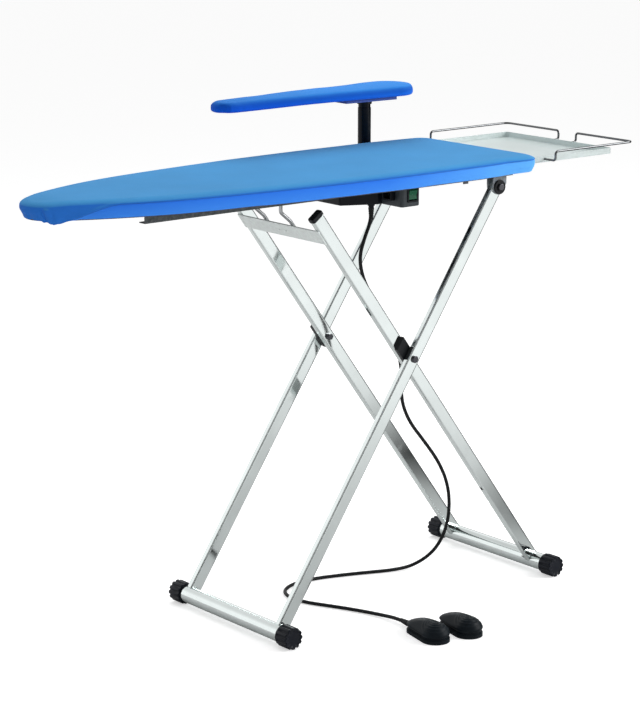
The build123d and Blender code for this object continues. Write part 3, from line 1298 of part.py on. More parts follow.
def write_board():
    pieces("board_pan", board_pan())
    pieces("perforated_plate", perforated_plate())
    pieces("heating_element", heating_element())
    pieces("element_clips", *element_clips())
    pieces("thermostat", thermostat())
    pieces("felt_pad", felt_pad())
    pieces("board_cover", board_cover())
    pieces("hem_elastic", hem_elastic())
    pieces("rail_near", rail())
    pieces("rail_far", far(rail()))
    pieces("height_racks", *pair(height_rack()))
    pieces("tail_bracket_near", tail_bracket())
    pieces("tail_bracket_far", far(tail_bracket()))
    pieces("tail_pivot_discs", *pair(tail_disc()))
    pieces("tail_pivot_bolts", *pair(tail_bolt()))
    pieces("tail_pivot_nuts", *pair(tail_nut()))
    pieces("bracket_wing_screws", *pair(strip_wing_screw()))


def write_fan_and_controls():
    pieces("fan_housing", fan_housing())
    pieces("fan_gasket", fan_gasket())
    pieces("fan_motor", fan_motor())
    pieces("fan_impeller", fan_impeller())
    pieces("control_box", control_box())
    pieces("switch_frame", switch_frame())
    pieces("rocker", rocker())
    pieces("mains_inlet", mains_inlet())
    pieces("terminal_block", terminal_block())
    pieces("cable_gland", cable_gland())


def write_sleeve_board():
    pieces("sleeve_duct", sleeve_duct())
    pieces("sleeve_post", sleeve_post())
    pieces("sleeve_collar", sleeve_collar())
    pieces("sleeve_pan", sleeve_pan())
    pieces("sleeve_plate", sleeve_plate())
    pieces("sleeve_cover", sleeve_cover())


def write_tray():
    pieces("iron_tray", iron_tray())
    pieces("guard_wires", guard_wire(-1, GUARD_GAP_NEAR_Y), guard_wire(1, GUARD_GAP_FAR_Y))
    pieces("tray_arms", *pair(tray_arm()))
    pieces("tray_clamps", *pair(tray_clamp()))
    pieces("tray_wing_screws", *pair(tray_wing_screw()))


def write_pedals():
    left = (PEDAL_LEFT_X, PEDAL_LEFT_Y)
    right = (PEDAL_RIGHT_X, PEDAL_RIGHT_Y)
    pieces("pedal_base_left", pedal_at(*left, pedal_base() - grommet_bore()) - pedal_link(TOUCH))
    pieces("pedal_base_right", pedal_at(*right, pedal_base()) - pedal_link(TOUCH))
    pieces("pedal_cap_left", pedal_at(*left, pedal_cap() - grommet_way()))
    pieces("pedal_cap_right", pedal_at(*right, pedal_cap()))
    pieces("pedal_switches", pedal_at(*left, pedal_switch()), pedal_at(*right, pedal_switch()))
    pieces("pedal_springs", pedal_at(*left, pedal_spring()), pedal_at(*right, pedal_spring()))
    pieces("pedal_grommets", cable_grommet(), pedal_link(0))
    pieces("pedal_cable", pedal_cable())


def report_size():
    """Print the whole table's box, without the cable."""
    boxes = [box for node, box in BOUNDS.items() if node != "pedal_cable"]
    lows = [min(getattr(box.min, axis) for box in boxes) for axis in "XYZ"]
    highs = [max(getattr(box.max, axis) for box in boxes) for axis in "XYZ"]
    print("low corner", [round(value, 2) for value in lows])
    print("high corner", [round(value, 2) for value in highs])
    print("nodes", len(BOUNDS))
    print("tail pivot", TAIL_PIVOT, "mid pivot", MID_PIVOT)


os.makedirs("parts", exist_ok=True)
write_frames()
write_board()
write_fan_and_controls()
write_sleeve_board()
write_tray()
write_pedals()
report_size()
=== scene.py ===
# %% [markdown]
# # Dressing a vacuum ironing table
# The solids of the table arrive as a fixed frame: tubes, brackets, housings and pedals, each at
# its real size. This script gives every one of them a finish, and remakes the soft pieces that
# a solid can only hint at: the two blue covers, the rubber pedals and the cable. Lengths are in
# metres, +Z is up, -X is the pointed nose of the board and -Y is the side with the switch.

# %% load the frame
import math

import bpy
import numpy as np
from mathutils import Matrix, Vector


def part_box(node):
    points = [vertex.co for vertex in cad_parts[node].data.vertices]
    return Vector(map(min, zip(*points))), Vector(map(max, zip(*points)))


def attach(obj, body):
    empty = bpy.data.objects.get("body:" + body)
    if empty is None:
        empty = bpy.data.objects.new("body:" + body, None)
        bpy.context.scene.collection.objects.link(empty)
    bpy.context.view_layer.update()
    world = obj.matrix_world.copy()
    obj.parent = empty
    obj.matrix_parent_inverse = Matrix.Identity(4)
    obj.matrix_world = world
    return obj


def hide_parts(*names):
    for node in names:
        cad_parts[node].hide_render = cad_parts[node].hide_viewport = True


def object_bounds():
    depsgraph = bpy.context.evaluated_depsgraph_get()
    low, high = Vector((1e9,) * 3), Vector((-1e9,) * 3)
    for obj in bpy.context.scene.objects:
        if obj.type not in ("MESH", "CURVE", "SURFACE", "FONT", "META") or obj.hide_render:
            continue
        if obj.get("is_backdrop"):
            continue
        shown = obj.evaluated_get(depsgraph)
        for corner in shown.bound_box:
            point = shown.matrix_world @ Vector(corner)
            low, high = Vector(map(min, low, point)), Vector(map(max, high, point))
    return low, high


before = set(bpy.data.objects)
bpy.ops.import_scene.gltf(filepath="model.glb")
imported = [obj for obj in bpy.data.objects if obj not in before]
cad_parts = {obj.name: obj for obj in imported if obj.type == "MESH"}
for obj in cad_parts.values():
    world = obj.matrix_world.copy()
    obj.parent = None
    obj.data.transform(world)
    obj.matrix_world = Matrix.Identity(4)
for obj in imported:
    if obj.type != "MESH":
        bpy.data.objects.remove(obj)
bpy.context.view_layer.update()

def corners():
    """The lowest and highest corner of everything shown, as plain lists."""
    low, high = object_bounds()
    return [list(low), list(high)]


# %% [markdown]
# Sizes in this script are measured as on the workshop drawing, from the axle of the floor tube
# under the nose. The frame's own origin is the middle of the footprint, so one shift takes a
# drawing point to its place in the scene. Writing points this way keeps them easy to compare
# with the real table.

# %% from drawing to scene
DRAWING_SHIFT = Vector((-0.2433, 0.0554, 0.0))


def at(x, y, z):
    """A point of the drawing, in the scene."""
    return Vector((x, y, z)) + DRAWING_SHIFT


print("drawing origin lands at", at(0, 0, 0))

# %% [markdown]
# The camera comes first, because it decides what will be seen. The photograph was taken from
# near the nose end, a little above the board. A long lens from five metres keeps the legs
# almost parallel. The sensor is fitted to the picture's width, so that the lens means the same
# whatever the picture's height.

# %% camera
CAMERA_PLACE = at(-2.9798, -3.9568, 1.7524)
CAMERA_LOOK = Vector((0.6147, 0.7553, -0.2275))
LENS_MM = 135.6
SENSOR_MM = 36.0

lens = bpy.data.cameras.new("studio_camera")
lens.sensor_fit = "HORIZONTAL"
lens.sensor_width = SENSOR_MM
lens.lens = LENS_MM
lens.clip_end = 60
camera = bpy.data.objects.new("studio_camera", lens)
camera.location = CAMERA_PLACE
camera.rotation_euler = CAMERA_LOOK.to_track_quat("-Z", "Y").to_euler()
bpy.context.scene.collection.objects.link(camera)
bpy.context.scene.camera = camera
bpy.context.scene.view_settings.view_transform = "Standard"
print("camera at", tuple(round(value, 3) for value in camera.location))

# %% [markdown]
# The pedal cable is a round rubber lead, eight millimetres thick. It leaves a gland under the
# fan, hangs between the crossed legs, turns on the floor in one wide loop and ends in the heel
# of the left pedal. A smooth curve pulled by a few listed points behaves like real cable:
# it cuts the corners softly and never kinks.

# %% pedal cable
CABLE_THICK = 0.008
CABLE_ROUTE = [
    (0.3860, 0.0020, 0.8710),
    (0.3860, 0.0020, 0.8430),
    (0.3670, 0.0010, 0.8080),
    (0.3500, 0.0000, 0.7640),
    (0.3640, 0.0000, 0.7100),
    (0.3970, 0.0000, 0.6620),
    (0.4360, 0.0000, 0.6020),
    (0.4660, 0.0000, 0.5410),
    (0.4780, 0.0000, 0.4800),
    (0.4750, 0.0000, 0.4240),
    (0.5000, 0.0000, 0.3700),
    (0.5450, 0.0000, 0.3180),
    (0.5900, 0.0000, 0.2620),
    (0.6200, 0.0010, 0.2050),
    (0.6300, 0.0030, 0.1450),
    (0.6230, 0.0080, 0.0880),
    (0.6000, 0.0220, 0.0380),
    (0.5560, 0.0440, 0.0070),
    (0.5000, 0.0560, 0.0043),
    (0.4400, 0.0820, 0.0043),
    (0.3840, 0.1030, 0.0043),
    (0.3240, 0.1220, 0.0043),
    (0.2620, 0.1240, 0.0043),
    (0.2130, 0.0980, 0.0043),
    (0.1950, 0.0520, 0.0043),
    (0.2040, 0.0020, 0.0043),
    (0.2320, -0.0520, 0.0043),
    (0.2580, -0.1080, 0.0043),
    (0.2760, -0.1620, 0.0050),
    (0.2835, -0.2146, 0.0085),
    (0.2796, -0.2521, 0.0085),
]


def smooth_cord(name, route, thick):
    """A round cord as one smooth curve pulled by its route's points."""
    curve = bpy.data.curves.new(name, "CURVE")
    curve.dimensions = "3D"
    curve.bevel_depth = thick / 2
    curve.bevel_resolution = 6
    curve.resolution_u = 12
    spline = curve.splines.new("NURBS")
    spline.points.add(len(route) - 1)
    for point, place in zip(spline.points, route):
        point.co = (*at(*place), 1.0)
    spline.order_u = 3
    spline.use_endpoint_u = True
    cord = bpy.data.objects.new(name, curve)
    bpy.context.scene.collection.objects.link(cord)
    return cord


cable = smooth_cord("cable", CABLE_ROUTE, CABLE_THICK)
print("cable with", len(CABLE_ROUTE), "points")

# %% [markdown]
# The set is a white studio: a pale floor that goes on behind the table, and a pale world all
# round. Chrome has no colour of its own, so what it mirrors is what it looks like. Two dark
# places in the room, one round the camera and one off the tail end, give the tubes the thin dark
# edges that polished steel shows in any bright room; the ceiling is a little darker than the
# walls. Only polished surfaces see these places. Three broad lamps light cloth and plastic.
# A place is a direction, with the angle from it that is fully dark and the angle where it fades.

# %% nodes in one call
def add(tree, kind, inputs=None, **settings):
    """Put a node in a tree. Inputs are plain values or sockets to link from."""
    made = tree.nodes.new(kind)
    for key, value in settings.items():
        setattr(made, key, value)
    for key, value in (inputs or {}).items():
        if isinstance(value, bpy.types.NodeSocket):
            tree.links.new(value, made.inputs[key])
        else:
            made.inputs[key].default_value = value
    return made


def math_node(tree, operation, first, second=0.0):
    """One arithmetic step, clamped only where the operation clamps."""
    return add(tree, "ShaderNodeMath", {0: first, 1: second}, operation=operation).outputs[0]


def vector_math(tree, operation, first, second=(0, 0, 0)):
    """One vector step that gives a number."""
    return add(tree, "ShaderNodeVectorMath", {0: first, 1: second}, operation=operation).outputs["Value"]


def mix_color(tree, factor, first, second):
    """The first colour at 0, the second at 1."""
    return add(tree, "ShaderNodeMix", {0: factor, 6: first, 7: second}, data_type="RGBA").outputs[2]


def remap(tree, value, low, high, to_low=0.0, to_high=1.0):
    """A value stretched from one range to another, and held inside it."""
    return add(tree, "ShaderNodeMapRange", {
        "Value": value, "From Min": low, "From Max": high, "To Min": to_low, "To Max": to_high,
    }).outputs[0]


print("node helpers ready")

# %% world
AMBIENT = 0.52
CEILING_TONE = 0.62
DARK_PLACES = {
    "round the camera": {"toward": (-0.62, -0.65, 0.43), "full": 46.0, "fades": 64.0, "depth": 0.97},
    "off the tail": {"toward": (0.98, 0.05, -0.08), "full": 34.0, "fades": 50.0, "depth": 0.95},
}


def lightness_toward(tree, vector):
    """How bright the room is in a direction: pale walls, a greyer ceiling and the dark places."""
    up = add(tree, "ShaderNodeSeparateXYZ", {0: vector}).outputs["Z"]
    tone = remap(tree, up, 0.45, 0.75, 1.0, CEILING_TONE)
    for place in DARK_PLACES.values():
        aim = tuple(Vector(place["toward"]).normalized())
        nearness = vector_math(tree, "DOT_PRODUCT", vector, aim)
        wide, narrow = math.cos(math.radians(place["fades"])), math.cos(math.radians(place["full"]))
        kept = remap(tree, nearness, wide, narrow, 1.0, 1.0 - place["depth"])
        tone = math_node(tree, "MULTIPLY", tone, kept)
    return tone


world = bpy.data.worlds.new("studio")
bpy.context.scene.world = world
world.use_nodes = True
tree = world.node_tree
tree.nodes.clear()
path = add(tree, "ShaderNodeLightPath")
room = lightness_toward(tree, add(tree, "ShaderNodeTexCoord").outputs["Generated"])
mirrored_or_lit = {0: path.outputs["Is Glossy Ray"], 2: AMBIENT, 3: room}
lit = add(tree, "ShaderNodeMix", mirrored_or_lit, data_type="FLOAT").outputs[0]
seen = math_node(tree, "MAXIMUM", lit, path.outputs["Is Camera Ray"])
background = add(tree, "ShaderNodeBackground", {"Color": (1, 1, 1, 1), "Strength": seen})
add(tree, "ShaderNodeOutputWorld", {"Surface": background.outputs[0]})
print("world ambient", AMBIENT)

# %% [markdown]
# The floor is white paper. To the camera it glows a little, so that it stays white far behind
# the table and still takes a shadow. In a mirror it is plain lit paper close to the feet, shadows
# included, then an even tone that grows lighter with distance, and it is dark off the tail end.

# %% floor
FLOOR_SIZE = 40.0
FLOOR_BELOW_FEET = 0.0004
PAPER_WHITE = (0.88, 0.88, 0.88, 1)
PAPER_IN_MIRROR = (0.62, 0.62, 0.62, 1)
TAILWARD_AIM = tuple(Vector((1.0, 0.1, 0.0)).normalized())
OFF_TAIL_TONE = 0.06
PAPER_GLOW = 0.50
MIRRORED_NEAR = 0.50
MIRRORED_FAR = 0.98

floor_mesh = bpy.data.meshes.new("studio_floor")
half = FLOOR_SIZE / 2
paper_corners = [(-half, -half, 0), (half, -half, 0), (half, half, 0), (-half, half, 0)]
floor_mesh.from_pydata(paper_corners, [], [(0, 1, 2, 3)])
floor = bpy.data.objects.new("studio_floor", floor_mesh)
floor.location.z = -FLOOR_BELOW_FEET
bpy.context.scene.collection.objects.link(floor)
floor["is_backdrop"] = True

paper = bpy.data.materials.new("studio_paper")
paper.use_nodes = True
tree = paper.node_tree
path = add(tree, "ShaderNodeLightPath")
spot = add(tree, "ShaderNodeTexCoord").outputs["Object"]
reach = vector_math(tree, "LENGTH", spot)
outward_spot = add(tree, "ShaderNodeVectorMath", {0: spot}, operation="NORMALIZE").outputs["Vector"]
tailward = vector_math(tree, "DOT_PRODUCT", outward_spot, TAILWARD_AIM)
off_tail = math_node(tree, "MULTIPLY", remap(tree, tailward, 0.70, 0.84), remap(tree, reach, 0.5, 0.9))
kept = remap(tree, off_tail, 0.0, 1.0, 1.0, OFF_TAIL_TONE)
even = math_node(tree, "MULTIPLY", remap(tree, reach, 0.5, 2.4, MIRRORED_NEAR, MIRRORED_FAR), kept)
far_off = remap(tree, reach, 0.45, 1.1)
far_tone = math_node(tree, "MULTIPLY", even, far_off)
glow = math_node(tree, "MULTIPLY", far_tone, path.outputs["Is Glossy Ray"])
to_camera = math_node(tree, "MULTIPLY", path.outputs["Is Camera Ray"], PAPER_GLOW)
near_by = mix_color(tree, far_off, PAPER_IN_MIRROR, (0, 0, 0, 1))
whiteness = mix_color(tree, path.outputs["Is Glossy Ray"], PAPER_WHITE, near_by)
shader = tree.nodes["Principled BSDF"]
shader.inputs["Roughness"].default_value = 0.9
shader.inputs["Specular IOR Level"].default_value = 0.0
shader.inputs["Emission Color"].default_value = (1, 1, 1, 1)
tree.links.new(whiteness, shader.inputs["Base Color"])
tree.links.new(math_node(tree, "ADD", to_camera, glow), shader.inputs["Emission Strength"])
floor_mesh.materials.append(paper)
print("floor", FLOOR_SIZE, "m square")

# %% lamps
TABLE_MIDDLE = at(0.25, 0.0, 0.70)
LAMPS = {
    "key_lamp": {"place": (3.4, -2.6, 2.2), "size": 2.2, "watts": 112.0, "mirrored": True},
    "fill_lamp": {"place": (-2.2, -2.8, 3.0), "size": 2.4, "watts": 10.0, "mirrored": True},
    "top_lamp": {"place": (0.8, 1.6, 3.6), "size": 2.4, "watts": 45.0, "mirrored": False},
}


def broad_lamp(name, place, size, watts, mirrored):
    """A large square lamp turned to the middle of the table."""
    light = bpy.data.lights.new(name, "AREA")
    light.size = size
    light.energy = watts
    lamp = bpy.data.objects.new(name, light)
    lamp.location = at(*place)
    lamp.visible_glossy = mirrored
    lamp.rotation_euler = (TABLE_MIDDLE - lamp.location).to_track_quat("-Z", "Y").to_euler()
    bpy.context.scene.collection.objects.link(lamp)


for name, values in LAMPS.items():
    broad_lamp(name, **values)
print("lamps", list(LAMPS))

# %% [markdown]
# Finishes share a few effects: grain on moulded plastic, faint handling marks on metal, dust on
# what faces up, paint and rubber worn pale at the edges, and the threads of cloth. Each is made
# once as a node group with named sockets, and every finish sets its own values. All patterns
# are computed from the place on the object, in metres, so a scale is a number per metre.

# %% shell of a node group
SOCKETS = {"float": "NodeSocketFloat", "vector": "NodeSocketVector", "color": "NodeSocketColor"}


def effect(name, inputs, outputs):
    """An empty shader node group with its sockets, and its two end nodes."""
    group = bpy.data.node_groups.new(name, "ShaderNodeTree")
    for title, (kind, start) in inputs.items():
        socket = group.interface.new_socket(name=title, in_out="INPUT", socket_type=SOCKETS[kind])
        if start is not None:
            socket.default_value = start
    for title, kind in outputs.items():
        group.interface.new_socket(name=title, in_out="OUTPUT", socket_type=SOCKETS[kind])
    return group, group.nodes.new("NodeGroupInput"), group.nodes.new("NodeGroupOutput")


def scaled_noise(tree, vector, scale, detail=4.0, roughness=0.6):
    """Noise of a scale per metre, from 0 to 1."""
    return add(tree, "ShaderNodeTexNoise", {
        "Vector": vector, "Scale": scale, "Detail": detail, "Roughness": roughness,
    }).outputs["Fac"]


print("effect helpers ready")

# %% effect: grain
GRAIN, start, end = effect(
    "moulded_grain",
    {"Place": ("vector", None), "Scale": ("float", 900.0), "Blotch Scale": ("float", 14.0)},
    {"Height": "float", "Blotch": "float"},
)
fine = scaled_noise(GRAIN, start.outputs["Place"], start.outputs["Scale"], 3.0)
blotch = scaled_noise(GRAIN, start.outputs["Place"], start.outputs["Blotch Scale"], 5.0)
GRAIN.links.new(fine, end.inputs["Height"])
GRAIN.links.new(remap(GRAIN, blotch, 0.3, 0.7), end.inputs["Blotch"])
print("grain group made")

# %% effect: handling marks
MARKS, start, end = effect(
    "handling_marks",
    {"Place": ("vector", None), "Smudge Scale": ("float", 11.0), "Scratch Scale": ("float", 260.0)},
    {"Smudge": "float", "Scratch": "float"},
)
smudge = scaled_noise(MARKS, start.outputs["Place"], start.outputs["Smudge Scale"], 6.0, 0.7)
along_y = {0: start.outputs["Place"], 1: (0.12, 1.0, 0.12)}
stretched = add(MARKS, "ShaderNodeVectorMath", along_y, operation="MULTIPLY")
hairs = scaled_noise(MARKS, stretched.outputs[0], start.outputs["Scratch Scale"], 2.0, 0.4)
MARKS.links.new(remap(MARKS, smudge, 0.42, 0.78), end.inputs["Smudge"])
MARKS.links.new(remap(MARKS, hairs, 0.60, 0.74), end.inputs["Scratch"])
print("marks group made")

# %% effect: dust on what faces up
DUST, start, end = effect(
    "settled_dust",
    {"Place": ("vector", None), "Amount": ("float", 0.2)},
    {"Mask": "float"},
)
normal = add(DUST, "ShaderNodeSeparateXYZ", {0: add(DUST, "ShaderNodeNewGeometry").outputs["Normal"]})
upward = remap(DUST, normal.outputs["Z"], 0.5, 1.0)
patchy = remap(DUST, scaled_noise(DUST, start.outputs["Place"], 60.0, 6.0, 0.7), 0.35, 0.75, 0.3, 1.0)
film = math_node(DUST, "MULTIPLY", math_node(DUST, "MULTIPLY", upward, patchy), start.outputs["Amount"])
DUST.links.new(film, end.inputs["Mask"])
print("dust group made")

# %% effect: worn edges
WEAR, start, end = effect(
    "worn_edges",
    {"Place": ("vector", None), "Amount": ("float", 0.5)},
    {"Mask": "float"},
)
pointy = remap(WEAR, add(WEAR, "ShaderNodeNewGeometry").outputs["Pointiness"], 0.53, 0.62)
broken = remap(WEAR, scaled_noise(WEAR, start.outputs["Place"], 130.0, 5.0), 0.35, 0.65)
patches = math_node(WEAR, "MULTIPLY", pointy, broken)
WEAR.links.new(math_node(WEAR, "MULTIPLY", patches, start.outputs["Amount"]), end.inputs["Mask"])
print("wear group made")

# %% effect: woven threads
WEAVE, start, end = effect(
    "woven_threads",
    {"Place": ("vector", None), "Threads": ("float", 1500.0)},
    {"Height": "float", "Gap": "float"},
)
axes = add(WEAVE, "ShaderNodeSeparateXYZ", {0: start.outputs["Place"]})
turns = math_node(WEAVE, "MULTIPLY", start.outputs["Threads"], math.pi)
across = math_node(WEAVE, "ADD", axes.outputs["Y"], axes.outputs["Z"])
warp = math_node(WEAVE, "SINE", math_node(WEAVE, "MULTIPLY", axes.outputs["X"], turns))
weft = math_node(WEAVE, "SINE", math_node(WEAVE, "MULTIPLY", across, turns))
woven = math_node(WEAVE, "MULTIPLY", warp, weft)
slubs = scaled_noise(WEAVE, start.outputs["Place"], 420.0, 3.0)
uneven = math_node(WEAVE, "MULTIPLY", slubs, 0.6)
height = math_node(WEAVE, "ADD", remap(WEAVE, woven, -1.0, 1.0), uneven)
between = remap(WEAVE, math_node(WEAVE, "ABSOLUTE", woven), 0.0, 0.25, 1.0, 0.0)
WEAVE.links.new(height, end.inputs["Height"])
WEAVE.links.new(between, end.inputs["Gap"])
print("weave group made")

# %% [markdown]
# A finish is one material. Its base colour is mixed a little lighter and darker over the
# surface, because nothing real is one flat colour, and its roughness follows the same marks.
# The Principled shader itself stays in the material; only masks and heights come from groups.

# %% start of a material
def finish(name, roughness, metallic=0.0):
    """A new material, its tree, its shader, and the place on the object."""
    material = bpy.data.materials.new(name)
    material.use_nodes = True
    nodes = material.node_tree
    principled = nodes.nodes["Principled BSDF"]
    principled.inputs["Roughness"].default_value = roughness
    principled.inputs["Metallic"].default_value = metallic
    spot = add(nodes, "ShaderNodeTexCoord").outputs["Object"]
    return material, nodes, principled, spot


def use(nodes, group, inputs):
    """Place a shared effect in a material."""
    return add(nodes, "ShaderNodeGroup", inputs, node_tree=group)


def bump(nodes, height, depth, strength=1.0):
    """Turn a height into a normal; the depth is in metres."""
    return add(nodes, "ShaderNodeBump", {
        "Strength": strength, "Distance": depth, "Height": height,
    }).outputs["Normal"]


def shade(color, factor):
    """A colour made lighter or darker."""
    return tuple(min(1.0, channel * factor) for channel in color[:3]) + (1.0,)


print("material helpers ready")

# %% [markdown]
# The covers are plain woven cotton over felt. The top has been ironed on and bleached a little
# by steam, so it is paler and greener than the band round the side. Where it rolls over the edge
# it is painted darker and bluer, as shade where the cloth turns away from up. Top and band meet in
# a seam, which runs level along the flank and dives to the hem short of the nose, so the colour is
# split by the height above that line, with a thin painted shadow on it. Towards the tail the band
# is painted paler, for the brighter light there. Sheen adds the soft rim that fibres give at a
# glancing angle. The sleeve's cover has no seam: one blue, painted paler on its lit top and darker
# down its shaded side, in a soft change.

# %% cover cloth
# Painted light: between these two x the side band is painted paler towards the tail, for the brighter
# light there.
LIT_TOWARD_TAIL_X = (0.02, 0.42)
SEAM_DIVE = 0.014
SEAM_Z = 0.9695
SEAM_SHADOW = 0.45
BAND_GONE_X = -0.488
BAND_ENDS_X = -0.345
BOARD_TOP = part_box("board_cover")[1].z
BOARD_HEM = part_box("board_cover")[0].z
SLEEVE_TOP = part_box("sleeve_cover")[1].z
SLEEVE_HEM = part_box("sleeve_cover")[0].z
BOARD_BLUES = {
    "top": (0.060, 0.310, 0.650, 1), "roll_shade": (0.022, 0.170, 0.640, 1),
    "band": (0.028, 0.200, 0.860, 1), "low band": (0.050, 0.270, 0.950, 1),
    "lit_at_tail": (0.110, 0.420, 0.960, 1),
}
# The sleeve's cloth is one blue. These colours paint it paler on its lit top and darker down its shaded
# side, and the band turns a little darker towards the hem.
SLEEVE_BLUES = {
    "top": (0.040, 0.300, 0.860, 1), "roll_shade": (0.012, 0.170, 0.800, 1),
    "band": (0.006, 0.130, 0.760, 1), "low band": (0.004, 0.110, 0.720, 1),
    "lit_at_tail": (0.008, 0.170, 0.820, 1),
}


def cover_cloth(name, blues, hem_z, band_top_z, dive_x, split):
    """Cloth whose side band ends in a seam, which falls to the hem between the two dive_x."""
    material, nodes, shader, spot = finish(name, 0.86)
    place = add(nodes, "ShaderNodeSeparateXYZ", {0: spot})
    climb = remap(nodes, place.outputs["Z"], hem_z, band_top_z)
    band = mix_color(nodes, climb, blues["low band"], blues["band"])
    # Painted light: the band's colour grows paler towards the tail.
    lit_toward_tail = remap(nodes, place.outputs["X"], *LIT_TOWARD_TAIL_X)
    side = mix_color(nodes, lit_toward_tail, band, blues["lit_at_tail"])

    mottle = use(nodes, GRAIN, {"Place": spot, "Scale": 700.0, "Blotch Scale": 6.0})
    darker, paler = shade(blues["top"], 0.94), shade(blues["top"], 1.05)
    ironed = mix_color(nodes, mottle.outputs["Blotch"], darker, paler)
    # Painted shade: where the cloth rolls over the edge and turns away from up, its colour goes darker
    # and bluer.
    facing = add(nodes, "ShaderNodeNewGeometry").outputs["True Normal"]
    upward = add(nodes, "ShaderNodeSeparateXYZ", {0: facing}).outputs["Z"]
    top = mix_color(nodes, remap(nodes, upward, 0.15, 0.90), blues["roll_shade"], ironed)

    seam_z = add(nodes, "ShaderNodeMapRange", {
        "Value": place.outputs["X"], "From Min": dive_x[0], "From Max": dive_x[1],
        "To Min": hem_z - SEAM_DIVE, "To Max": band_top_z,
    }, interpolation_type="SMOOTHSTEP").outputs[0]
    above = math_node(nodes, "SUBTRACT", place.outputs["Z"], seam_z)
    cloth = mix_color(nodes, remap(nodes, above, -split, split), side, top)
    # Painted shadow: a thin dark line in the seam's crease.
    beside_seam = math_node(nodes, "ABSOLUTE", above)
    seam_shade = remap(nodes, beside_seam, split * 0.4, split * 2.4, SEAM_SHADOW, 0.0)
    cloth = mix_color(nodes, seam_shade, cloth, shade(blues["low band"], 0.40))

    weave = use(nodes, WEAVE, {"Place": spot, "Threads": 1400.0})
    shadow = math_node(nodes, "MULTIPLY", weave.outputs["Gap"], 0.10)
    tinted = mix_color(nodes, shadow, cloth, shade(blues["band"], 0.45))
    nodes.links.new(tinted, shader.inputs["Base Color"])
    nodes.links.new(bump(nodes, weave.outputs["Height"], 0.00012, 0.35), shader.inputs["Normal"])
    shader.inputs["Sheen Weight"].default_value = 0.05
    shader.inputs["Sheen Roughness"].default_value = 0.5
    shader.inputs["Specular IOR Level"].default_value = 0.10
    return material


DIVE_X = (BAND_GONE_X + DRAWING_SHIFT.x, BAND_ENDS_X + DRAWING_SHIFT.x)
BOARD_CLOTH = cover_cloth("board_cloth", BOARD_BLUES, BOARD_HEM, SEAM_Z + 0.0010, DIVE_X, 0.0008)
NO_DIVE_X = (-2.0, -1.0)
# On the sleeve the split by height is painted light and shade, not a seam.
SLEEVE_CLOTH = cover_cloth(
    "sleeve_cloth", SLEEVE_BLUES, SLEEVE_HEM, SLEEVE_TOP - 0.010, NO_DIVE_X, 0.0055)
print("cloth for covers between", BOARD_HEM, "and", SLEEVE_TOP)

# %% felt and elastic
def felted(name, color):
    material, nodes, shader, spot = finish(name, 0.95)
    fibres = use(nodes, GRAIN, {"Place": spot, "Scale": 1600.0, "Blotch Scale": 60.0})
    fluffy = mix_color(nodes, fibres.outputs["Blotch"], shade(color, 0.85), shade(color, 1.05))
    nodes.links.new(fluffy, shader.inputs["Base Color"])
    nodes.links.new(bump(nodes, fibres.outputs["Height"], 0.0006, 0.8), shader.inputs["Normal"])
    return material


FELT = felted("needled_felt", (0.82, 0.80, 0.74, 1))
ELASTIC = felted("elastic_cord", (0.05, 0.16, 0.42, 1))
print("felt made")

# %% [markdown]
# Metal comes in many finishes here: mirror chrome on the tubes, bright zinc on screws, plain
# sheet on the chambers. They differ in colour, in how blurred their mirror is, and in how many
# marks they carry, so one recipe with values covers them all. Polishing rounds a tube's corners
# over, and a bevel node gives the chrome that softness, which is what draws its dark edge lines.

# %% bare metals
def bare_metal(name, color, roughness, smudge, scratch,
               grain_depth=0.0, grain_scale=300.0, soft_edge=0.0):
    """Metal whose mirror is blurred by smudges and scratches, with an optional fine grain."""
    material, nodes, shader, spot = finish(name, roughness, 1.0)
    marks = use(nodes, MARKS, {"Place": spot})
    grain = use(nodes, GRAIN, {"Place": spot, "Scale": grain_scale})
    tone = mix_color(nodes, grain.outputs["Blotch"], shade(color, 0.95), shade(color, 1.03))
    nodes.links.new(tone, shader.inputs["Base Color"])
    smeared = math_node(nodes, "MULTIPLY", marks.outputs["Smudge"], smudge)
    hairs = math_node(nodes, "MULTIPLY", marks.outputs["Scratch"], scratch)
    blur = math_node(nodes, "ADD", math_node(nodes, "ADD", smeared, hairs), roughness)
    nodes.links.new(blur, shader.inputs["Roughness"])
    if grain_depth:
        dented = bump(nodes, grain.outputs["Height"], grain_depth)
        nodes.links.new(dented, shader.inputs["Normal"])
    if soft_edge:
        rounded = add(nodes, "ShaderNodeBevel", {"Radius": soft_edge}, samples=8)
        nodes.links.new(rounded.outputs["Normal"], shader.inputs["Normal"])
    return material


CHROME = bare_metal("polished_chrome", (0.85, 0.91, 0.90, 1), 0.05, 0.07, 0.08, soft_edge=0.0045)
BRIGHT_WIRE = bare_metal("plated_wire", (0.15, 0.155, 0.16, 1), 0.10, 0.08, 0.10)
ROD_STEEL = bare_metal("drawn_rod", (0.40, 0.41, 0.42, 1), 0.22, 0.12, 0.12)
BLACK_OXIDE = bare_metal("black_oxide", (0.09, 0.09, 0.10, 1), 0.30, 0.15, 0.10, 0.00003, 700.0)
ZINC = bare_metal("zinc_plate", (0.72, 0.73, 0.75, 1), 0.28, 0.15, 0.12, 0.00003, 700.0)
ROLLED_SHEET = bare_metal("rolled_sheet", (0.56, 0.57, 0.59, 1), 0.36, 0.14, 0.14, 0.00003, 500.0)
PLATE_SHEET = bare_metal("perforated_aluminium", (0.78, 0.79, 0.80, 1), 0.34, 0.12, 0.10, 0.00003, 500.0)
ELEMENT_TUBE = bare_metal("element_sheath", (0.30, 0.27, 0.25, 1), 0.46, 0.18, 0.10, 0.00005, 900.0)
MOTOR_CAN = bare_metal("motor_can", (0.58, 0.59, 0.61, 1), 0.40, 0.10, 0.10, 0.00008, 1200.0)
print("bare metals made")

# %% painted metal
BARE_STEEL = (0.50, 0.50, 0.51, 1)
PALE_DUST = (0.55, 0.54, 0.52, 1)


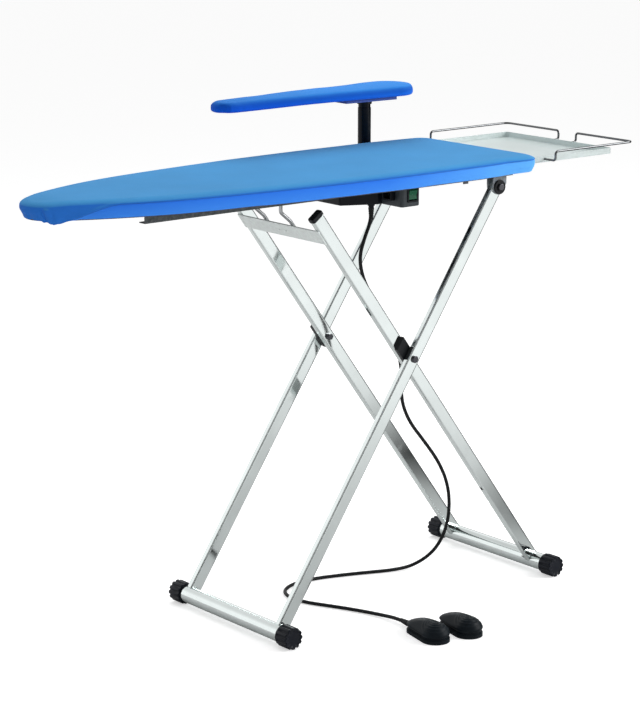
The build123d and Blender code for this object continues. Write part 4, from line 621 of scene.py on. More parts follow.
def painted(name, color, roughness, coat, wear=0.5, dust=0.12, peel=0.00003, shine=0.5):
    """Paint with a faint orange peel, rubbed to steel at its edges."""
    material, nodes, shader, spot = finish(name, roughness)
    grain = use(nodes, GRAIN, {"Place": spot, "Scale": 380.0, "Blotch Scale": 9.0})
    worn = use(nodes, WEAR, {"Place": spot, "Amount": wear})
    film = use(nodes, DUST, {"Place": spot, "Amount": dust})
    tone = mix_color(nodes, grain.outputs["Blotch"], shade(color, 0.93), shade(color, 1.05))
    rubbed = mix_color(nodes, worn.outputs["Mask"], tone, BARE_STEEL)
    dusty = mix_color(nodes, film.outputs["Mask"], rubbed, PALE_DUST)
    nodes.links.new(dusty, shader.inputs["Base Color"])
    blotched = math_node(nodes, "MULTIPLY", grain.outputs["Blotch"], 0.08)
    nodes.links.new(math_node(nodes, "ADD", blotched, roughness), shader.inputs["Roughness"])
    nodes.links.new(bump(nodes, grain.outputs["Height"], peel), shader.inputs["Normal"])
    shader.inputs["Specular IOR Level"].default_value = shine
    shader.inputs["Coat Weight"].default_value = coat
    shader.inputs["Coat Roughness"].default_value = 0.08
    return material


BRACKET_PAINT = painted("bracket_paint", (0.105, 0.135, 0.165, 1), 0.38, coat=0.2)
RAIL_PAINT = painted("rail_paint", (0.022, 0.034, 0.040, 1), 0.42, coat=0.0, wear=0.15, dust=0.03)
PLATE_PAINT = painted("cross_plate_paint", (0.86, 0.93, 0.91, 1), 0.34, coat=0.2, wear=0.3, dust=0.03)
TRAY_PAINT = painted("tray_paint", (0.62, 0.70, 0.69, 1), 0.30, coat=0.2, wear=0.2, dust=0.03)
PAN_PAINT = painted("pan_paint", (0.035, 0.045, 0.055, 1), 0.50, coat=0.0, wear=0.2, dust=0.03)
ENAMEL = painted("blue_enamel", (0.004, 0.050, 0.300, 1), 0.60, coat=0.0, wear=0.1, dust=0.03)
POST_PAINT = painted(
    "post_paint", (0.002, 0.003, 0.006, 1), 0.20, coat=0.0, wear=0.0, dust=0.01, shine=0.14)
print("painted metals made")

# %% [markdown]
# Plastic and rubber look alike in black, but not up close: a moulded housing has a fine etched
# grain and a soft shine, while rubber is duller, greyer at its edges, and holds dust. Both come
# from one recipe whose grain, shine and dust are set apart.

# %% moulded plastics and rubbers
GREY_DUST = (0.30, 0.29, 0.28, 1)


def moulded(name, color, roughness, grain_depth, wear=0.3, dust=0.15, grain_scale=900.0, shine=0.5):
    """Black or coloured plastic or rubber with a moulded grain."""
    material, nodes, shader, spot = finish(name, roughness)
    grain = use(nodes, GRAIN, {"Place": spot, "Scale": grain_scale, "Blotch Scale": 22.0})
    worn = use(nodes, WEAR, {"Place": spot, "Amount": wear})
    film = use(nodes, DUST, {"Place": spot, "Amount": dust})
    tone = mix_color(nodes, grain.outputs["Blotch"], shade(color, 0.85), shade(color, 1.15))
    paler = tuple(channel * 0.8 + 0.035 for channel in color[:3]) + (1.0,)
    rubbed = mix_color(nodes, worn.outputs["Mask"], tone, paler)
    dusty = mix_color(nodes, film.outputs["Mask"], rubbed, GREY_DUST)
    nodes.links.new(dusty, shader.inputs["Base Color"])
    blotched = math_node(nodes, "MULTIPLY", grain.outputs["Blotch"], 0.10)
    nodes.links.new(math_node(nodes, "ADD", blotched, roughness), shader.inputs["Roughness"])
    nodes.links.new(bump(nodes, grain.outputs["Height"], grain_depth), shader.inputs["Normal"])
    shader.inputs["Specular IOR Level"].default_value = shine
    return material


HOUSING_PLASTIC = moulded(
    "housing_plastic", (0.004, 0.006, 0.010, 1), 0.34, 0.00006, wear=0.1, dust=0.02, shine=0.18)
BOX_PLASTIC = moulded(
    "box_plastic", (0.036, 0.046, 0.054, 1), 0.34, 0.00005, wear=0.15, dust=0.05, shine=0.35)
CAP_PLASTIC = moulded(
    "cap_plastic", (0.005, 0.006, 0.008, 1), 0.30, 0.00004, wear=0.1, dust=0.02, shine=0.22)
GREY_PLASTIC = moulded("grey_plastic", (0.10, 0.105, 0.11, 1), 0.45, 0.00005)
GREEN_ROCKER = moulded(
    "rocker_green", (0.004, 0.115, 0.050, 1), 0.22, 0.00001, wear=0.1, dust=0.03, shine=0.3)
CREAM_PLASTIC = moulded("terminal_cream", (0.72, 0.66, 0.52, 1), 0.45, 0.00003)
FOOT_RUBBER = moulded(
    "foot_rubber", (0.002, 0.004, 0.010, 1), 0.34, 0.00010, wear=0.15, dust=0.02,
    grain_scale=600.0, shine=0.26)
PEDAL_RUBBER = moulded(
    "pedal_rubber", (0.005, 0.009, 0.013, 1), 0.42, 0.00008, wear=0.10, dust=0.01,
    grain_scale=700.0, shine=0.16)
CABLE_RUBBER = moulded(
    "cable_rubber", (0.006, 0.007, 0.008, 1), 0.42, 0.00004, wear=0.1, dust=0.03,
    grain_scale=1400.0, shine=0.25)
print("plastics and rubbers made")

# %% [markdown]
# Each solid that keeps its own shape now takes a finish. The list reads as a parts list: a
# finish, then the pieces that are made in it. The imported meshes share one slot each, so the
# finish replaces what came with them.

# %% finishes on the solids
PARTS_LIST = {
    CHROME: "outer_leg_near outer_leg_far inner_leg_near inner_leg_far outer_foot_tube inner_foot_tube",
    BRIGHT_WIRE: "guard_wires",
    ZINC: "tail_pivot_nuts height_racks tray_clamps element_clips pedal_springs",
    ROLLED_SHEET: "thermostat",
    PAN_PAINT: "board_pan",
    ENAMEL: "sleeve_pan",
    PLATE_SHEET: "perforated_plate sleeve_plate",
    ELEMENT_TUBE: "heating_element",
    MOTOR_CAN: "fan_motor",
    BRACKET_PAINT: "tail_bracket_near tail_bracket_far",
    RAIL_PAINT: "rail_near rail_far sleeve_duct tray_arms tray_wing_screws",
    PLATE_PAINT: "cross_plate",
    TRAY_PAINT: "iron_tray",
    POST_PAINT: "sleeve_post",
    ROD_STEEL: "hook_rods",
    BLACK_OXIDE: "pivot_bolts pivot_nuts bracket_wing_screws tail_pivot_bolts",
    HOUSING_PLASTIC: "fan_housing mains_inlet switch_frame cable_gland",
    BOX_PLASTIC: "control_box",
    CAP_PLASTIC: "leg_top_caps pivot_spacers tail_pivot_discs sleeve_collar",
    GREY_PLASTIC: "fan_impeller pedal_switches",
    GREEN_ROCKER: "rocker",
    CREAM_PLASTIC: "terminal_block",
    FOOT_RUBBER: "outer_foot_caps inner_foot_caps fan_gasket pedal_grommets",
    PEDAL_RUBBER: "pedal_base_left pedal_base_right pedal_cap_left pedal_cap_right",
    CABLE_RUBBER: "pedal_cable",
    FELT: "felt_pad",
    ELASTIC: "hem_elastic",
    BOARD_CLOTH: "board_cover",
    SLEEVE_CLOTH: "sleeve_cover",
}


def dress(solid, material):
    """Give a solid one finish, whatever slots it came with."""
    solid.data.materials.clear()
    solid.data.materials.append(material)


dressed = 0
for material, names in PARTS_LIST.items():
    for name in names.split():
        dress(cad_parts[name], material)
        dressed += 1
print("dressed", dressed, "of", len(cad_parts), "solids")

# %% [markdown]
# The board's plan is drawn as a joiner would: from the tip of the nose, three arcs of growing
# radius that run into each other, then a straight edge, a short taper and a rounded corner at
# the square tail, where the padding stands a few millimetres proud. Drawing the same plan a
# little smaller gives the next ring inwards, with the same number of points, so that rings can
# be joined into a skin.

# %% plan of the board
NOSE_X = -0.500
TAIL_X = 0.700
NOSE_R = 0.062
NOSE_TURN = 61.0
FLANK_R = 0.890
FLANK_TURN = 20.0
SHOULDER_R = 3.600
TAPER_X = 0.540
TAIL_HALF_WIDTH = 0.187
TAIL_CORNER = 0.032


def arc_on(points, heading, radius, turn, steps):
    """Carry a path on along an arc to the right. Headings and turns are degrees."""
    start = points[-1]
    ahead = math.radians(heading)
    centre = start + radius * np.array([math.sin(ahead), -math.cos(ahead)])
    for step in range(1, steps + 1):
        angle = ahead - math.radians(turn) * step / steps
        points.append(centre + radius * np.array([-math.sin(angle), math.cos(angle)]))
    return heading - turn


def line_on(points, end, steps):
    """Carry a path on along a straight line."""
    start = points[-1]
    for step in range(1, steps + 1):
        points.append(start + (np.array(end) - start) * step / steps)


def board_side(inset):
    """The far half of the plan, from the nose to the end of the tail's corner."""
    points = [np.array([NOSE_X + inset, 0.0])]
    heading = arc_on(points, 90.0, NOSE_R - inset, NOSE_TURN, 40)
    heading = arc_on(points, heading, FLANK_R - inset, FLANK_TURN, 26)
    arc_on(points, heading, SHOULDER_R - inset, heading, 34)
    widest = points[-1][1]
    line_on(points, (TAPER_X, widest), 12)
    tail = TAIL_X - inset
    corner = np.array([tail, TAIL_HALF_WIDTH - inset])
    fall = math.degrees(math.atan2(widest - corner[1], tail - TAPER_X))
    radius = TAIL_CORNER - inset * 0.4
    turn = 90.0 - fall
    back = radius * math.tan(math.radians(turn / 2))
    along = (corner - points[-1]) / np.linalg.norm(corner - points[-1])
    line_on(points, corner - along * back, 8)
    arc_on(points, -fall, radius, turn, 8)
    return np.array(points)


outline = board_side(0.0)
print("board plan:", len(outline), "points, half width", round(float(outline[:, 1].max()), 4))

# %% [markdown]
# A cover is a skin of such rings. From the tucked edge under the hem the rings climb the side,
# roll over the edge and run in over the top; the middle of the top is then filled with rows
# that cross the board. Every point can still be moved by a shaping rule, which is where seams,
# gathers and sags come from.

# %% skin from rings
def closed_ring(side, columns):
    """Far side, then across the tail, then the near side back to the nose."""
    across = [side[-1] * np.array([1.0, 1.0 - 2.0 * step / columns]) for step in range(1, columns)]
    near = [point * np.array([1.0, -1.0]) for point in side[::-1][:-1]]
    return np.array([*side, *across, *near])


def cover_skin(side_of, profile, crown_of, columns):
    """Rings over a profile of (inset, height), and rows over the top. Returns vertices and faces."""
    rings = [closed_ring(side_of(inset), columns) for inset, _ in profile]
    count = len(rings[0])
    vertices = [(x, y, z) for ring, (_, z) in zip(rings, profile) for x, y in ring]
    faces = []
    for level in range(len(rings) - 1):
        low, high = level * count, (level + 1) * count
        for step in range(count):
            after = (step + 1) % count
            faces.append((low + step, high + step, high + after, low + after))
    last = (len(rings) - 1) * count
    side_count = len(side_of(0.0))
    edge_x, edge_y = rings[-1][:, 0], rings[-1][:, 1]
    before = [last] * (columns + 1)
    for row in range(1, side_count):
        partner = count - row
        line = [last + row]
        if row < side_count - 1:
            for column in range(1, columns):
                share = 1.0 - 2.0 * column / columns
                place = (edge_x[row], edge_y[row] * share)
                line.append(len(vertices))
                vertices.append((*place, profile[-1][1] + crown_of(abs(edge_y[row]), share)))
        else:
            line += [last + side_count - 1 + column for column in range(1, columns)]
        line.append(last + partner)
        for column in range(columns):
            corner_loop = (before[column], before[column + 1], line[column + 1], line[column])
            faces.append(tuple(dict.fromkeys(corner_loop)))
        before = line
    return np.array(vertices), faces


def mesh_object(name, vertices, faces, material):
    """A smooth-shaded mesh object in the scene."""
    mesh = bpy.data.meshes.new(name)
    placed = [tuple(at(*vertex)) for vertex in vertices]
    mesh.from_pydata(placed, [], [tuple(map(int, face)) for face in faces])
    mesh.update()
    mesh.polygons.foreach_set("use_smooth", [True] * len(mesh.polygons))
    mesh.materials.append(material)
    piece = bpy.data.objects.new(name, mesh)
    bpy.context.scene.collection.objects.link(piece)
    return piece


def apply_modifiers(piece):
    """Bake a piece's modifiers into its mesh."""
    graph = bpy.context.evaluated_depsgraph_get()
    baked = bpy.data.meshes.new_from_object(piece.evaluated_get(graph))
    piece.modifiers.clear()
    piece.data = baked


def subdivide(piece, levels):
    """Make a mesh finer and softer, for good."""
    modifier = piece.modifiers.new("finer", "SUBSURF")
    modifier.levels = levels
    modifier.render_levels = levels
    apply_modifiers(piece)


print("skin helpers ready")

# %% [markdown]
# The board's cover is sewn from a top panel and a side band. The top panel rolls softly over the
# edge and meets the band in a tight seam, with the band set a little back. Short of the nose the
# seam dives to the hem, and the top panel alone is pulled round the nose, where it bellies out,
# creases once and is gathered underneath by the elastic. The gathers hang lowest on the near side
# of the nose, and the near corner at the tail is the fullest. Each named value is how far that
# form moves the cloth, and a soft step says where it begins and ends.

# %% shape of the board cover
ROLL_IN = 0.0170
ROLL_HIGH = 0.0100
TOP_PROUD = 0.0042
TOP_CROWN = 0.0012
SEAM_DEEP = 0.0020
SEAM_WIDE = 0.0010
BAND_BACK = 0.0012
HEM_ROLL = 0.0040
HEM_DROP = 0.0012
HEM_OUTSIDE = 0.0016
HEM_INSIDE = 0.0078
PAN_GAP = 0.0086
FLANK_BULGE = 0.0012
LIP_PROUD = 0.0016
PLEAT_DEEP = 0.0014
NOSE_BELLY = 0.0022
NOSE_TUCK = 0.0030
CREASE_DEEP = 0.0030
CORNER_FULL = 0.0070
GATHER_HANG = 0.0085
GATHER_AROUND = -1.10
NOSE_SLOPE = 0.0035
SOFT_WAVE = 0.0006


def smooth_step(value, low, high):
    """0 below a range, 1 above it, and a soft S between."""
    share = np.clip((value - low) / (high - low), 0.0, 1.0)
    return share * share * (3.0 - 2.0 * share)


def board_profile():
    """Insets and heights from the tucked edge, round the hem, up the side and over the roll."""
    profile = [(PAN_GAP, BOARD_HEM + 0.012), (PAN_GAP, BOARD_HEM + 0.006)]
    low_hem = BOARD_HEM - HEM_DROP
    middle, reach = (HEM_INSIDE + HEM_OUTSIDE) / 2, (HEM_INSIDE - HEM_OUTSIDE) / 2
    for step in range(5):
        angle = math.pi * step / 5
        rise = HEM_ROLL * (1 - math.sin(angle)) * 0.9
        profile.append((middle + reach * math.cos(angle), low_hem + rise))
    shoulder = BOARD_TOP + TOP_PROUD - TOP_CROWN
    bottom, top = low_hem + HEM_ROLL, shoulder - ROLL_HIGH
    for step in range(11):
        share = step / 10
        bulge = FLANK_BULGE * math.sin(math.pi * share)
        profile.append((HEM_OUTSIDE * (1 - share) - bulge + 0.0004, bottom + (top - bottom) * share))
    for step in range(1, 10):
        angle = math.radians(90 * step / 9)
        profile.append((ROLL_IN * (1 - math.cos(angle)), shoulder - ROLL_HIGH * (1 - math.sin(angle))))
    for inset in (0.026, 0.036, 0.046, 0.055):
        swell = math.sin(math.pi / 2 * (inset - ROLL_IN) / 0.055)
        profile.append((inset, shoulder + TOP_CROWN * 0.8 * swell))
    return profile


def board_crown(half_width, share):
    """What is left of the crown, over the rows in the middle of the top."""
    return TOP_CROWN * 0.5 * (1.0 - share * share) * min(1.0, half_width / 0.14) ** 2


def outward(vertices, middle_x):
    """Level unit vectors that point out from the board's long middle line."""
    away = vertices[:, :2].copy()
    away[:, 0] -= np.clip(away[:, 0], middle_x[0], middle_x[1])
    length = np.linalg.norm(away, axis=1)
    length[length < 1e-6] = 1.0
    return away / length[:, None]


def ripple(along, wave, seed):
    """A slow uneven wave made of three that never line up."""
    return (np.sin(along / wave * 6.283 + seed) + 0.6 * np.sin(along / wave * 10.37 + seed * 2.1)
            + 0.35 * np.sin(along / wave * 17.9 + seed * 3.7)) / 1.95


def shape_board_cover(vertices):
    """Seam, gathers and slack, as small moves of each point."""
    moved = vertices.copy()
    x, y, z = vertices.T
    away = outward(vertices, (NOSE_X + NOSE_R, TAIL_X - 0.15))
    crown_z = BOARD_TOP + TOP_PROUD
    on_side = smooth_step(crown_z - z, 0.0006, 0.0100)
    low_down = smooth_step(crown_z - z, 0.012, 0.034)
    around = np.arctan2(y, NOSE_X + NOSE_R - x)
    at_nose = smooth_step(-x, 0.370, 0.445)

    dive_z = BOARD_HEM - SEAM_DIVE
    seam_z = dive_z + (SEAM_Z - dive_z) * smooth_step(x, BAND_GONE_X, BAND_ENDS_X)
    groove = SEAM_DEEP * np.exp(-((z - seam_z) / SEAM_WIDE) ** 2)
    below_seam = 1.0 - smooth_step(z - seam_z, -0.0012, 0.0004)
    lip = LIP_PROUD * np.exp(-((z - seam_z - 0.0040) / 0.0036) ** 2) * (1 - smooth_step(x, -0.30, 0.10))
    push = on_side * (lip - groove - BAND_BACK * below_seam)
    push += on_side * (1 - at_nose) * 0.0005 * ripple(x, 0.19, 1.3) * low_down

    pleats = ripple(around, 0.62, 0.8)
    belly = np.sin(np.pi * np.clip((crown_z - z) / 0.036, 0.0, 1.0))
    push += at_nose * (NOSE_BELLY * belly - NOSE_TUCK * low_down + PLEAT_DEEP * pleats * low_down)
    lean = around + 0.70 + 6.0 * (crown_z - z - 0.02)
    crease = np.exp(-(lean / 0.045) ** 2) - 0.7 * np.exp(-((lean + 0.15) / 0.09) ** 2)
    push -= CREASE_DEEP * at_nose * crease * smooth_step(crown_z - z, 0.009, 0.016)
    at_corner = smooth_step(x, 0.600, 0.690) * smooth_step(-y, 0.080, 0.165)
    push += at_corner * (CORNER_FULL * on_side + 0.0030 * belly)
    moved[:, :2] += away * push[:, None]

    gather = GATHER_HANG * np.exp(-((around - GATHER_AROUND) / 0.42) ** 2)
    gather += 0.0012 * ripple(around, 0.33, 2.2)
    hang = at_nose * low_down * gather
    slope = at_nose * (1 - low_down) * NOSE_SLOPE * smooth_step(-x, 0.430, 0.500)
    hem_wave = SOFT_WAVE * ripple(x + 2 * y, 0.23, 0.4) * smooth_step(crown_z - z, 0.020, 0.034)
    soft_top = SOFT_WAVE * ripple(x + 0.7 * y, 0.42, 2.0) * ripple(y - 0.3 * x, 0.31, 0.9)
    moved[:, 2] += -hang - slope + hem_wave + soft_top * (1 - on_side)
    return moved


vertices, faces = cover_skin(board_side, board_profile(), board_crown, 28)
board_cover = mesh_object("quilted_cover", vertices, faces, BOARD_CLOTH)
subdivide(board_cover, 1)
SHIFT = np.array(DRAWING_SHIFT)
places = np.array([vertex.co for vertex in board_cover.data.vertices]) - SHIFT
board_cover.data.vertices.foreach_set("co", (shape_board_cover(places) + SHIFT).ravel())
board_cover.data.update()
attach(board_cover, "board")
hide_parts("board_cover")
print("board cover:", len(board_cover.data.vertices), "points")

# %% [markdown]
# The sleeve board has the same kind of cover, smaller and plumper: a round nose, a wider round
# tail and straight sides between. It has no seam. Its nose is pulled tight from below, which
# leaves a shallow hollow between two small folds.

# %% sleeve cover
SLEEVE_Y = 0.230
SLEEVE_NOSE_X = 0.167
SLEEVE_NOSE_R = 0.035
SLEEVE_TAIL_X = 0.625
SLEEVE_TAIL_R = 0.060
SLEEVE_ROLL = 0.0125
SLEEVE_UNDER = 0.0060
SLEEVE_CROWN = 0.0022
NOSE_DROOP = 0.0035
TAIL_LIFT = 0.0015


def sleeve_side(inset):
    """The far half of the sleeve board's plan, about its own middle line."""
    lean = math.degrees(math.asin((SLEEVE_TAIL_R - SLEEVE_NOSE_R) / (SLEEVE_TAIL_X - SLEEVE_NOSE_X)))
    points = [np.array([SLEEVE_NOSE_X - SLEEVE_NOSE_R + inset, 0.0])]
    arc_on(points, 90.0, SLEEVE_NOSE_R - inset, 90.0 - lean, 14)
    out = np.array([-math.sin(math.radians(lean)), math.cos(math.radians(lean))])
    line_on(points, np.array([SLEEVE_TAIL_X, 0.0]) + out * (SLEEVE_TAIL_R - inset), 36)
    arc_on(points, lean, SLEEVE_TAIL_R - inset, 84.0 + lean, 18)
    return np.array(points)


def sleeve_profile():
    """From the tucked edge, round a soft lower edge, up the side and over a wide roll."""
    profile = [(0.0066, SLEEVE_HEM + 0.006), (0.0062, SLEEVE_HEM + 0.002)]
    for step in range(6):
        angle = math.radians(90 * step / 5)
        inset = SLEEVE_UNDER * (1 - math.sin(angle)) * 0.9
        profile.append((inset, SLEEVE_HEM + SLEEVE_UNDER * (1 - math.cos(angle))))
    shoulder = SLEEVE_TOP - SLEEVE_CROWN
    for step in range(11):
        angle = math.radians(90 * step / 10)
        inset = SLEEVE_ROLL * (1 - math.cos(angle))
        profile.append((inset, shoulder - SLEEVE_ROLL * (1 - math.sin(angle))))
    for inset in (0.017, 0.023, 0.029):
        profile.append((inset, shoulder + SLEEVE_CROWN * 0.8 * (inset - SLEEVE_ROLL) / 0.0195))
    return profile


def shape_sleeve_cover(vertices):
    """Hollow, folds and droop, as small moves of each point."""
    moved = vertices.copy()
    x, y, z = vertices.T
    away = outward(vertices, (SLEEVE_NOSE_X, SLEEVE_TAIL_X))
    around = np.arctan2(y, SLEEVE_NOSE_X - x)
    at_nose = smooth_step(-x, -0.215, -0.165)
    low_down = smooth_step(SLEEVE_TOP - z, 0.003, 0.012)
    push = at_nose * low_down * 0.0012 * ripple(around, 0.8, 2.4)
    hollow = np.exp(-((around + 0.75) / 0.26) ** 2) * smooth_step(SLEEVE_TOP - z, 0.004, 0.011)
    push -= 0.0030 * at_nose * hollow
    fold = np.exp(-((x - 0.190) / 0.008) ** 2) * smooth_step(SLEEVE_TOP - z, 0.004, 0.012)
    push += 0.0010 * fold + 0.0005 * low_down * ripple(x, 0.13, 0.7)
    moved[:, :2] += away * push[:, None]
    moved[:, 2] += 0.0005 * ripple(x + y, 0.21, 1.1) * (1 - low_down)
    moved[:, 2] -= NOSE_DROOP * (1.0 - smooth_step(x, 0.14, 0.42))
    moved[:, 2] += TAIL_LIFT * smooth_step(x, 0.52, 0.66) * (1 - low_down)
    return moved


def sleeve_crown(half_width, share):
    """What is left of the crown, over the rows in the middle of the top."""
    return SLEEVE_CROWN * 0.2 * (1 - share * share) * min(1.0, half_width / 0.03) ** 2


vertices, faces = cover_skin(sleeve_side, sleeve_profile(), sleeve_crown, 14)
vertices = vertices + np.array([0.0, SLEEVE_Y, 0.0])
sleeve_cover = mesh_object("sleeve_cover_cloth", vertices, faces, SLEEVE_CLOTH)
subdivide(sleeve_cover, 1)
centre_line = SHIFT + np.array([0.0, SLEEVE_Y, 0.0])
places = np.array([vertex.co for vertex in sleeve_cover.data.vertices]) - centre_line
sleeve_cover.data.vertices.foreach_set("co", (shape_sleeve_cover(places) + centre_line).ravel())
sleeve_cover.data.update()
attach(sleeve_cover, "sleeve_board")
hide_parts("sleeve_cover")
print("sleeve cover:", len(sleeve_cover.data.vertices), "points")

# %% [markdown]
# Each foot pedal is a soft rubber dome over a switch. Its plan is an egg with the blunt end at
# the toe, where rings are moulded for grip. A grid of rays from the middle of the toe follows
# that plan: along each ray the height comes from one smooth curve, plus the rings.

# %% rubber pedals
PEDAL_TURN = math.radians(-6.0)
PEDALS = {
    "left": {"place": (0.272, -0.324), "body": "left_pedal"},
    "right": {"place": (0.351, -0.341), "body": "right_pedal"},
}
PEDAL_LONG = 0.120
PEDAL_TOE_R = 0.031
PEDAL_HEEL_R = 0.024
PEDAL_TOP = 0.0400
PEDAL_LOW = 0.0133
PEDAL_RIM = 0.0060
PEDAL_LIP = [(1.006, 0.0048), (0.99, 0.0034), (0.955, 0.001), (0.90, 0.0)]
RING_PITCH = 0.0056
RING_COUNT = 5
RING_HIGH = 0.0010
RAYS = 96
STEPS_OUT = 44


def pedal_reach(angle):
    """How far the plan lies from the toe's centre, along a ray; 90 degrees is to the heel."""
    gap = PEDAL_LONG - PEDAL_TOE_R - PEDAL_HEEL_R
    aim = np.array([math.cos(angle), math.sin(angle)])
    best = 0.0
    for share in np.linspace(0.0, 1.0, 40):
        centre = np.array([0.0, gap * share])
        radius = PEDAL_TOE_R + (PEDAL_HEEL_R - PEDAL_TOE_R) * share
        along = float(aim @ centre)
        beside = radius ** 2 - (float(centre @ centre) - along ** 2)
        if beside > 0:
            best = max(best, along + math.sqrt(beside))
    return best


def pedal_height(distance, share):
    """The dome's height, with the grip rings near the toe."""
    dome = (1.0 - min(1.0, share) ** 2.2) ** 0.75
    height = PEDAL_LOW + PEDAL_RIM + (PEDAL_TOP - PEDAL_LOW - PEDAL_RIM) * dome
    if distance < RING_PITCH * (RING_COUNT + 0.5):
        height += RING_HIGH * max(0.0, math.cos(2 * math.pi * distance / RING_PITCH)) ** 1.5
    return height


def pedal_dome(name, place, material):
    """One pedal's rubber, as rays from the toe out to a skirt and a turned-in lip."""
    toe = -PEDAL_LONG / 2 + PEDAL_TOE_R
    vertices = [(0.0, toe, pedal_height(0.0, 0.0))]
    lip = [(share, PEDAL_LOW + rise) for share, rise in PEDAL_LIP]
    for ray in range(RAYS):
        angle = 2 * math.pi * ray / RAYS
        reach = pedal_reach(angle)
        aim = (math.cos(angle), math.sin(angle))
        for step in range(1, STEPS_OUT + 1):
            share = 1.0 - (1.0 - step / STEPS_OUT) ** 1.3
            distance = reach * share
            height = pedal_height(distance, share)
            vertices.append((aim[0] * distance, toe + aim[1] * distance, height))
        for share, height in lip:
            vertices.append((aim[0] * reach * share, toe + aim[1] * reach * share, height))
    stride = STEPS_OUT + len(lip)
    faces = []
    for ray in range(RAYS):
        here, there = 1 + ray * stride, 1 + (ray + 1) % RAYS * stride
        faces.append((0, here, there))
        for step in range(stride - 1):
            faces.append((here + step, here + step + 1, there + step + 1, there + step))
    turn = np.array(Matrix.Rotation(PEDAL_TURN, 3, "Z"))
    vertices = np.array(vertices) @ turn.T + np.array([*place, 0.0])
    return mesh_object(name, vertices, faces, material)


for side, values in PEDALS.items():
    dome = pedal_dome(f"pedal_rubber_{side}", values["place"], PEDAL_RUBBER)
    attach(dome, values["body"])
    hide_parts(f"pedal_cap_{side}")
print("pedal domes with", RING_COUNT, "rings")

# %% [markdown]
# The floor tubes end in rubber feet, moulded with twelve broad ribs so that they grip and don't
# roll. A foot is a turned shape whose radius also goes up and down round the axis: flat ribs
# with soft flanks and narrow grooves between. Its outer end is a shallow dished face. Both feet
# of a tube are one object, like the solid that they replace.

# %% rubber feet
FOOT_R = 0.0240
FOOT_GROOVE = 0.0030
FOOT_RIBS = 12
FOOT_AXIS_Z = 0.0240
FOOT_LONG = 0.0365
FOOT_END_Y = 0.209
FOOT_SPOKES = 192
FOOT_TUBES = {
    "outer": {"x": 0.0, "body": "outer_frame"},
    "inner": {"x": 0.7688, "body": "inner_frame"},
}
# Each ring: how far along the foot, its share of the radius, and how deep the grooves are
FOOT_PROFILE = [
    (0.0, 0.81, 0.0), (0.0, 0.93, 0.0), (0.0012, 0.985, 0.3), (0.0030, 1.0, 1.0), (0.0180, 1.0, 1.0),
    (0.0335, 1.0, 1.0), (0.0355, 0.988, 1.0), (0.0364, 0.955, 0.9), (0.0365, 0.915, 0.7),
    (0.0358, 0.850, 0.0), (0.0357, 0.5, 0.0), (0.0357, 0.0, 0.0),
]


def foot_radius(angle, share, ribbed):
    """The radius on one spoke: a rib, its soft flank, or the groove beside it."""
    wave = math.cos(FOOT_RIBS * angle)
    groove = 1.0 - float(smooth_step(np.array(wave), -0.85, 0.30))
    return FOOT_R * share - FOOT_GROOVE * groove * ribbed


def rubber_feet(name, tube_x, material):
    """The near and far foot of one tube. Rings run from the inner rim to the outer face."""
    vertices, faces = [], []
    for end in (-1.0, 1.0):
        first = len(vertices)
        for along, share, ribbed in FOOT_PROFILE:
            for spoke in range(FOOT_SPOKES):
                angle = 2 * math.pi * spoke / FOOT_SPOKES
                radius = foot_radius(angle, share, ribbed)
                y = end * (FOOT_END_Y - FOOT_LONG + along)
                across, up = radius * math.sin(angle), -radius * math.cos(angle)
                vertices.append((tube_x + across, y, FOOT_AXIS_Z + up))
        for ring in range(len(FOOT_PROFILE) - 1):
            for spoke in range(FOOT_SPOKES):
                low, high = first + ring * FOOT_SPOKES, first + (ring + 1) * FOOT_SPOKES
                after = (spoke + 1) % FOOT_SPOKES
                loop = (low + spoke, low + after, high + after, high + spoke)
                faces.append(loop if end > 0 else loop[::-1])
    return mesh_object(name, vertices, faces, material)


for name, values in FOOT_TUBES.items():
    feet = rubber_feet(f"ribbed_feet_{name}", values["x"], FOOT_RUBBER)
    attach(feet, values["body"])
    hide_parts(f"{name}_foot_caps")
print("feet with", FOOT_RIBS, "ribs")

# %% [markdown]
# Where a cable leaves a housing it wears a tapered rubber sleeve, so that it can't be bent
# sharply there. The sleeve is a turned shape: a profile of radii spun about the cable, with
# flexing grooves along it. One is under the fan, one at the pedal's heel.

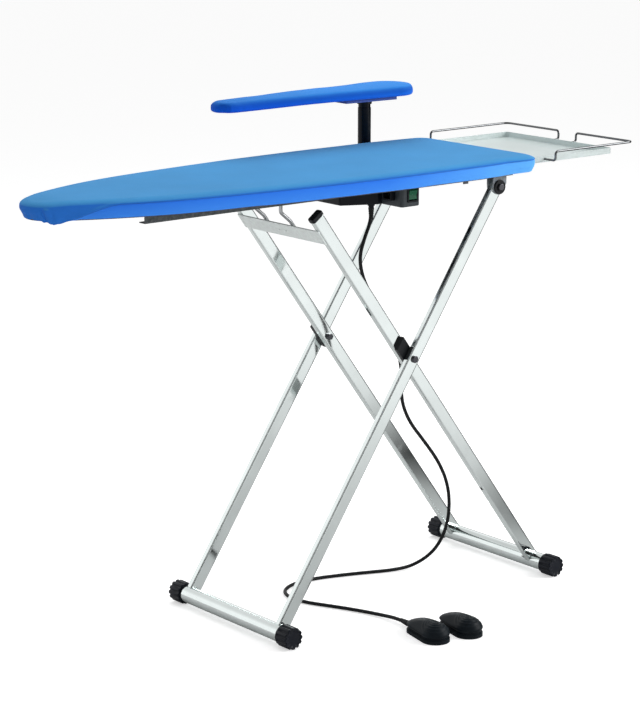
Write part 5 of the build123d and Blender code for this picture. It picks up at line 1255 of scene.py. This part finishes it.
# %% strain reliefs
RELIEF_LONG = 0.026
RELIEF_WIDE = 0.0066
RELIEF_NARROW = 0.0046
RELIEF_GROOVES = 5
RELIEF_GROOVE_DEEP = 0.0005
AROUND = 40


def strain_relief(name, start, aim, material):
    """A tapered, grooved sleeve spun about the cable's first stretch."""
    rings = 60
    turned = Vector(aim).normalized().to_track_quat("Z", "Y").to_matrix()
    vertices, faces = [], []
    for ring in range(rings + 1):
        share = ring / rings
        radius = RELIEF_WIDE + (RELIEF_NARROW - RELIEF_WIDE) * share
        wave = math.cos(2 * math.pi * RELIEF_GROOVES * share)
        radius -= RELIEF_GROOVE_DEEP * smooth_step(wave, 0.2, 0.8) * (0.1 < share < 0.95)
        if ring == rings:
            radius = CABLE_THICK / 2 - 0.0001
        for spoke in range(AROUND):
            angle = 2 * math.pi * spoke / AROUND
            local = Vector((radius * math.cos(angle), radius * math.sin(angle), RELIEF_LONG * share))
            vertices.append(Vector(start) + turned @ local)
    for ring in range(rings):
        for spoke in range(AROUND):
            after = (spoke + 1) % AROUND
            low, high = ring * AROUND, (ring + 1) * AROUND
            faces.append((low + spoke, low + after, high + after, high + spoke))
    piece = mesh_object(name, [tuple(vertex) for vertex in vertices], faces, material)
    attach(piece, "board")
    return piece


def route_aim(first, second):
    """The way from one route point to another."""
    return Vector(CABLE_ROUTE[second]) - Vector(CABLE_ROUTE[first])


gland_relief = strain_relief("gland_relief", CABLE_ROUTE[0], route_aim(0, 1), CABLE_RUBBER)
heel_relief = strain_relief("heel_relief", CABLE_ROUTE[-1], route_aim(-1, -2), CABLE_RUBBER)
print("strain reliefs", RELIEF_LONG * 1000, "mm long")

# %% [markdown]
# The cable takes its rubber finish and belongs to the board, where its gland is; the solid it
# replaces is hidden.

cable.data.materials.append(CABLE_RUBBER)
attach(cable, "board")
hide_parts("pedal_cable")

# %% [markdown]
# Last, the box of the dressed table is printed. Dressing changes looks, never sizes.

# %% dressed size
print("dressed box:", corners())
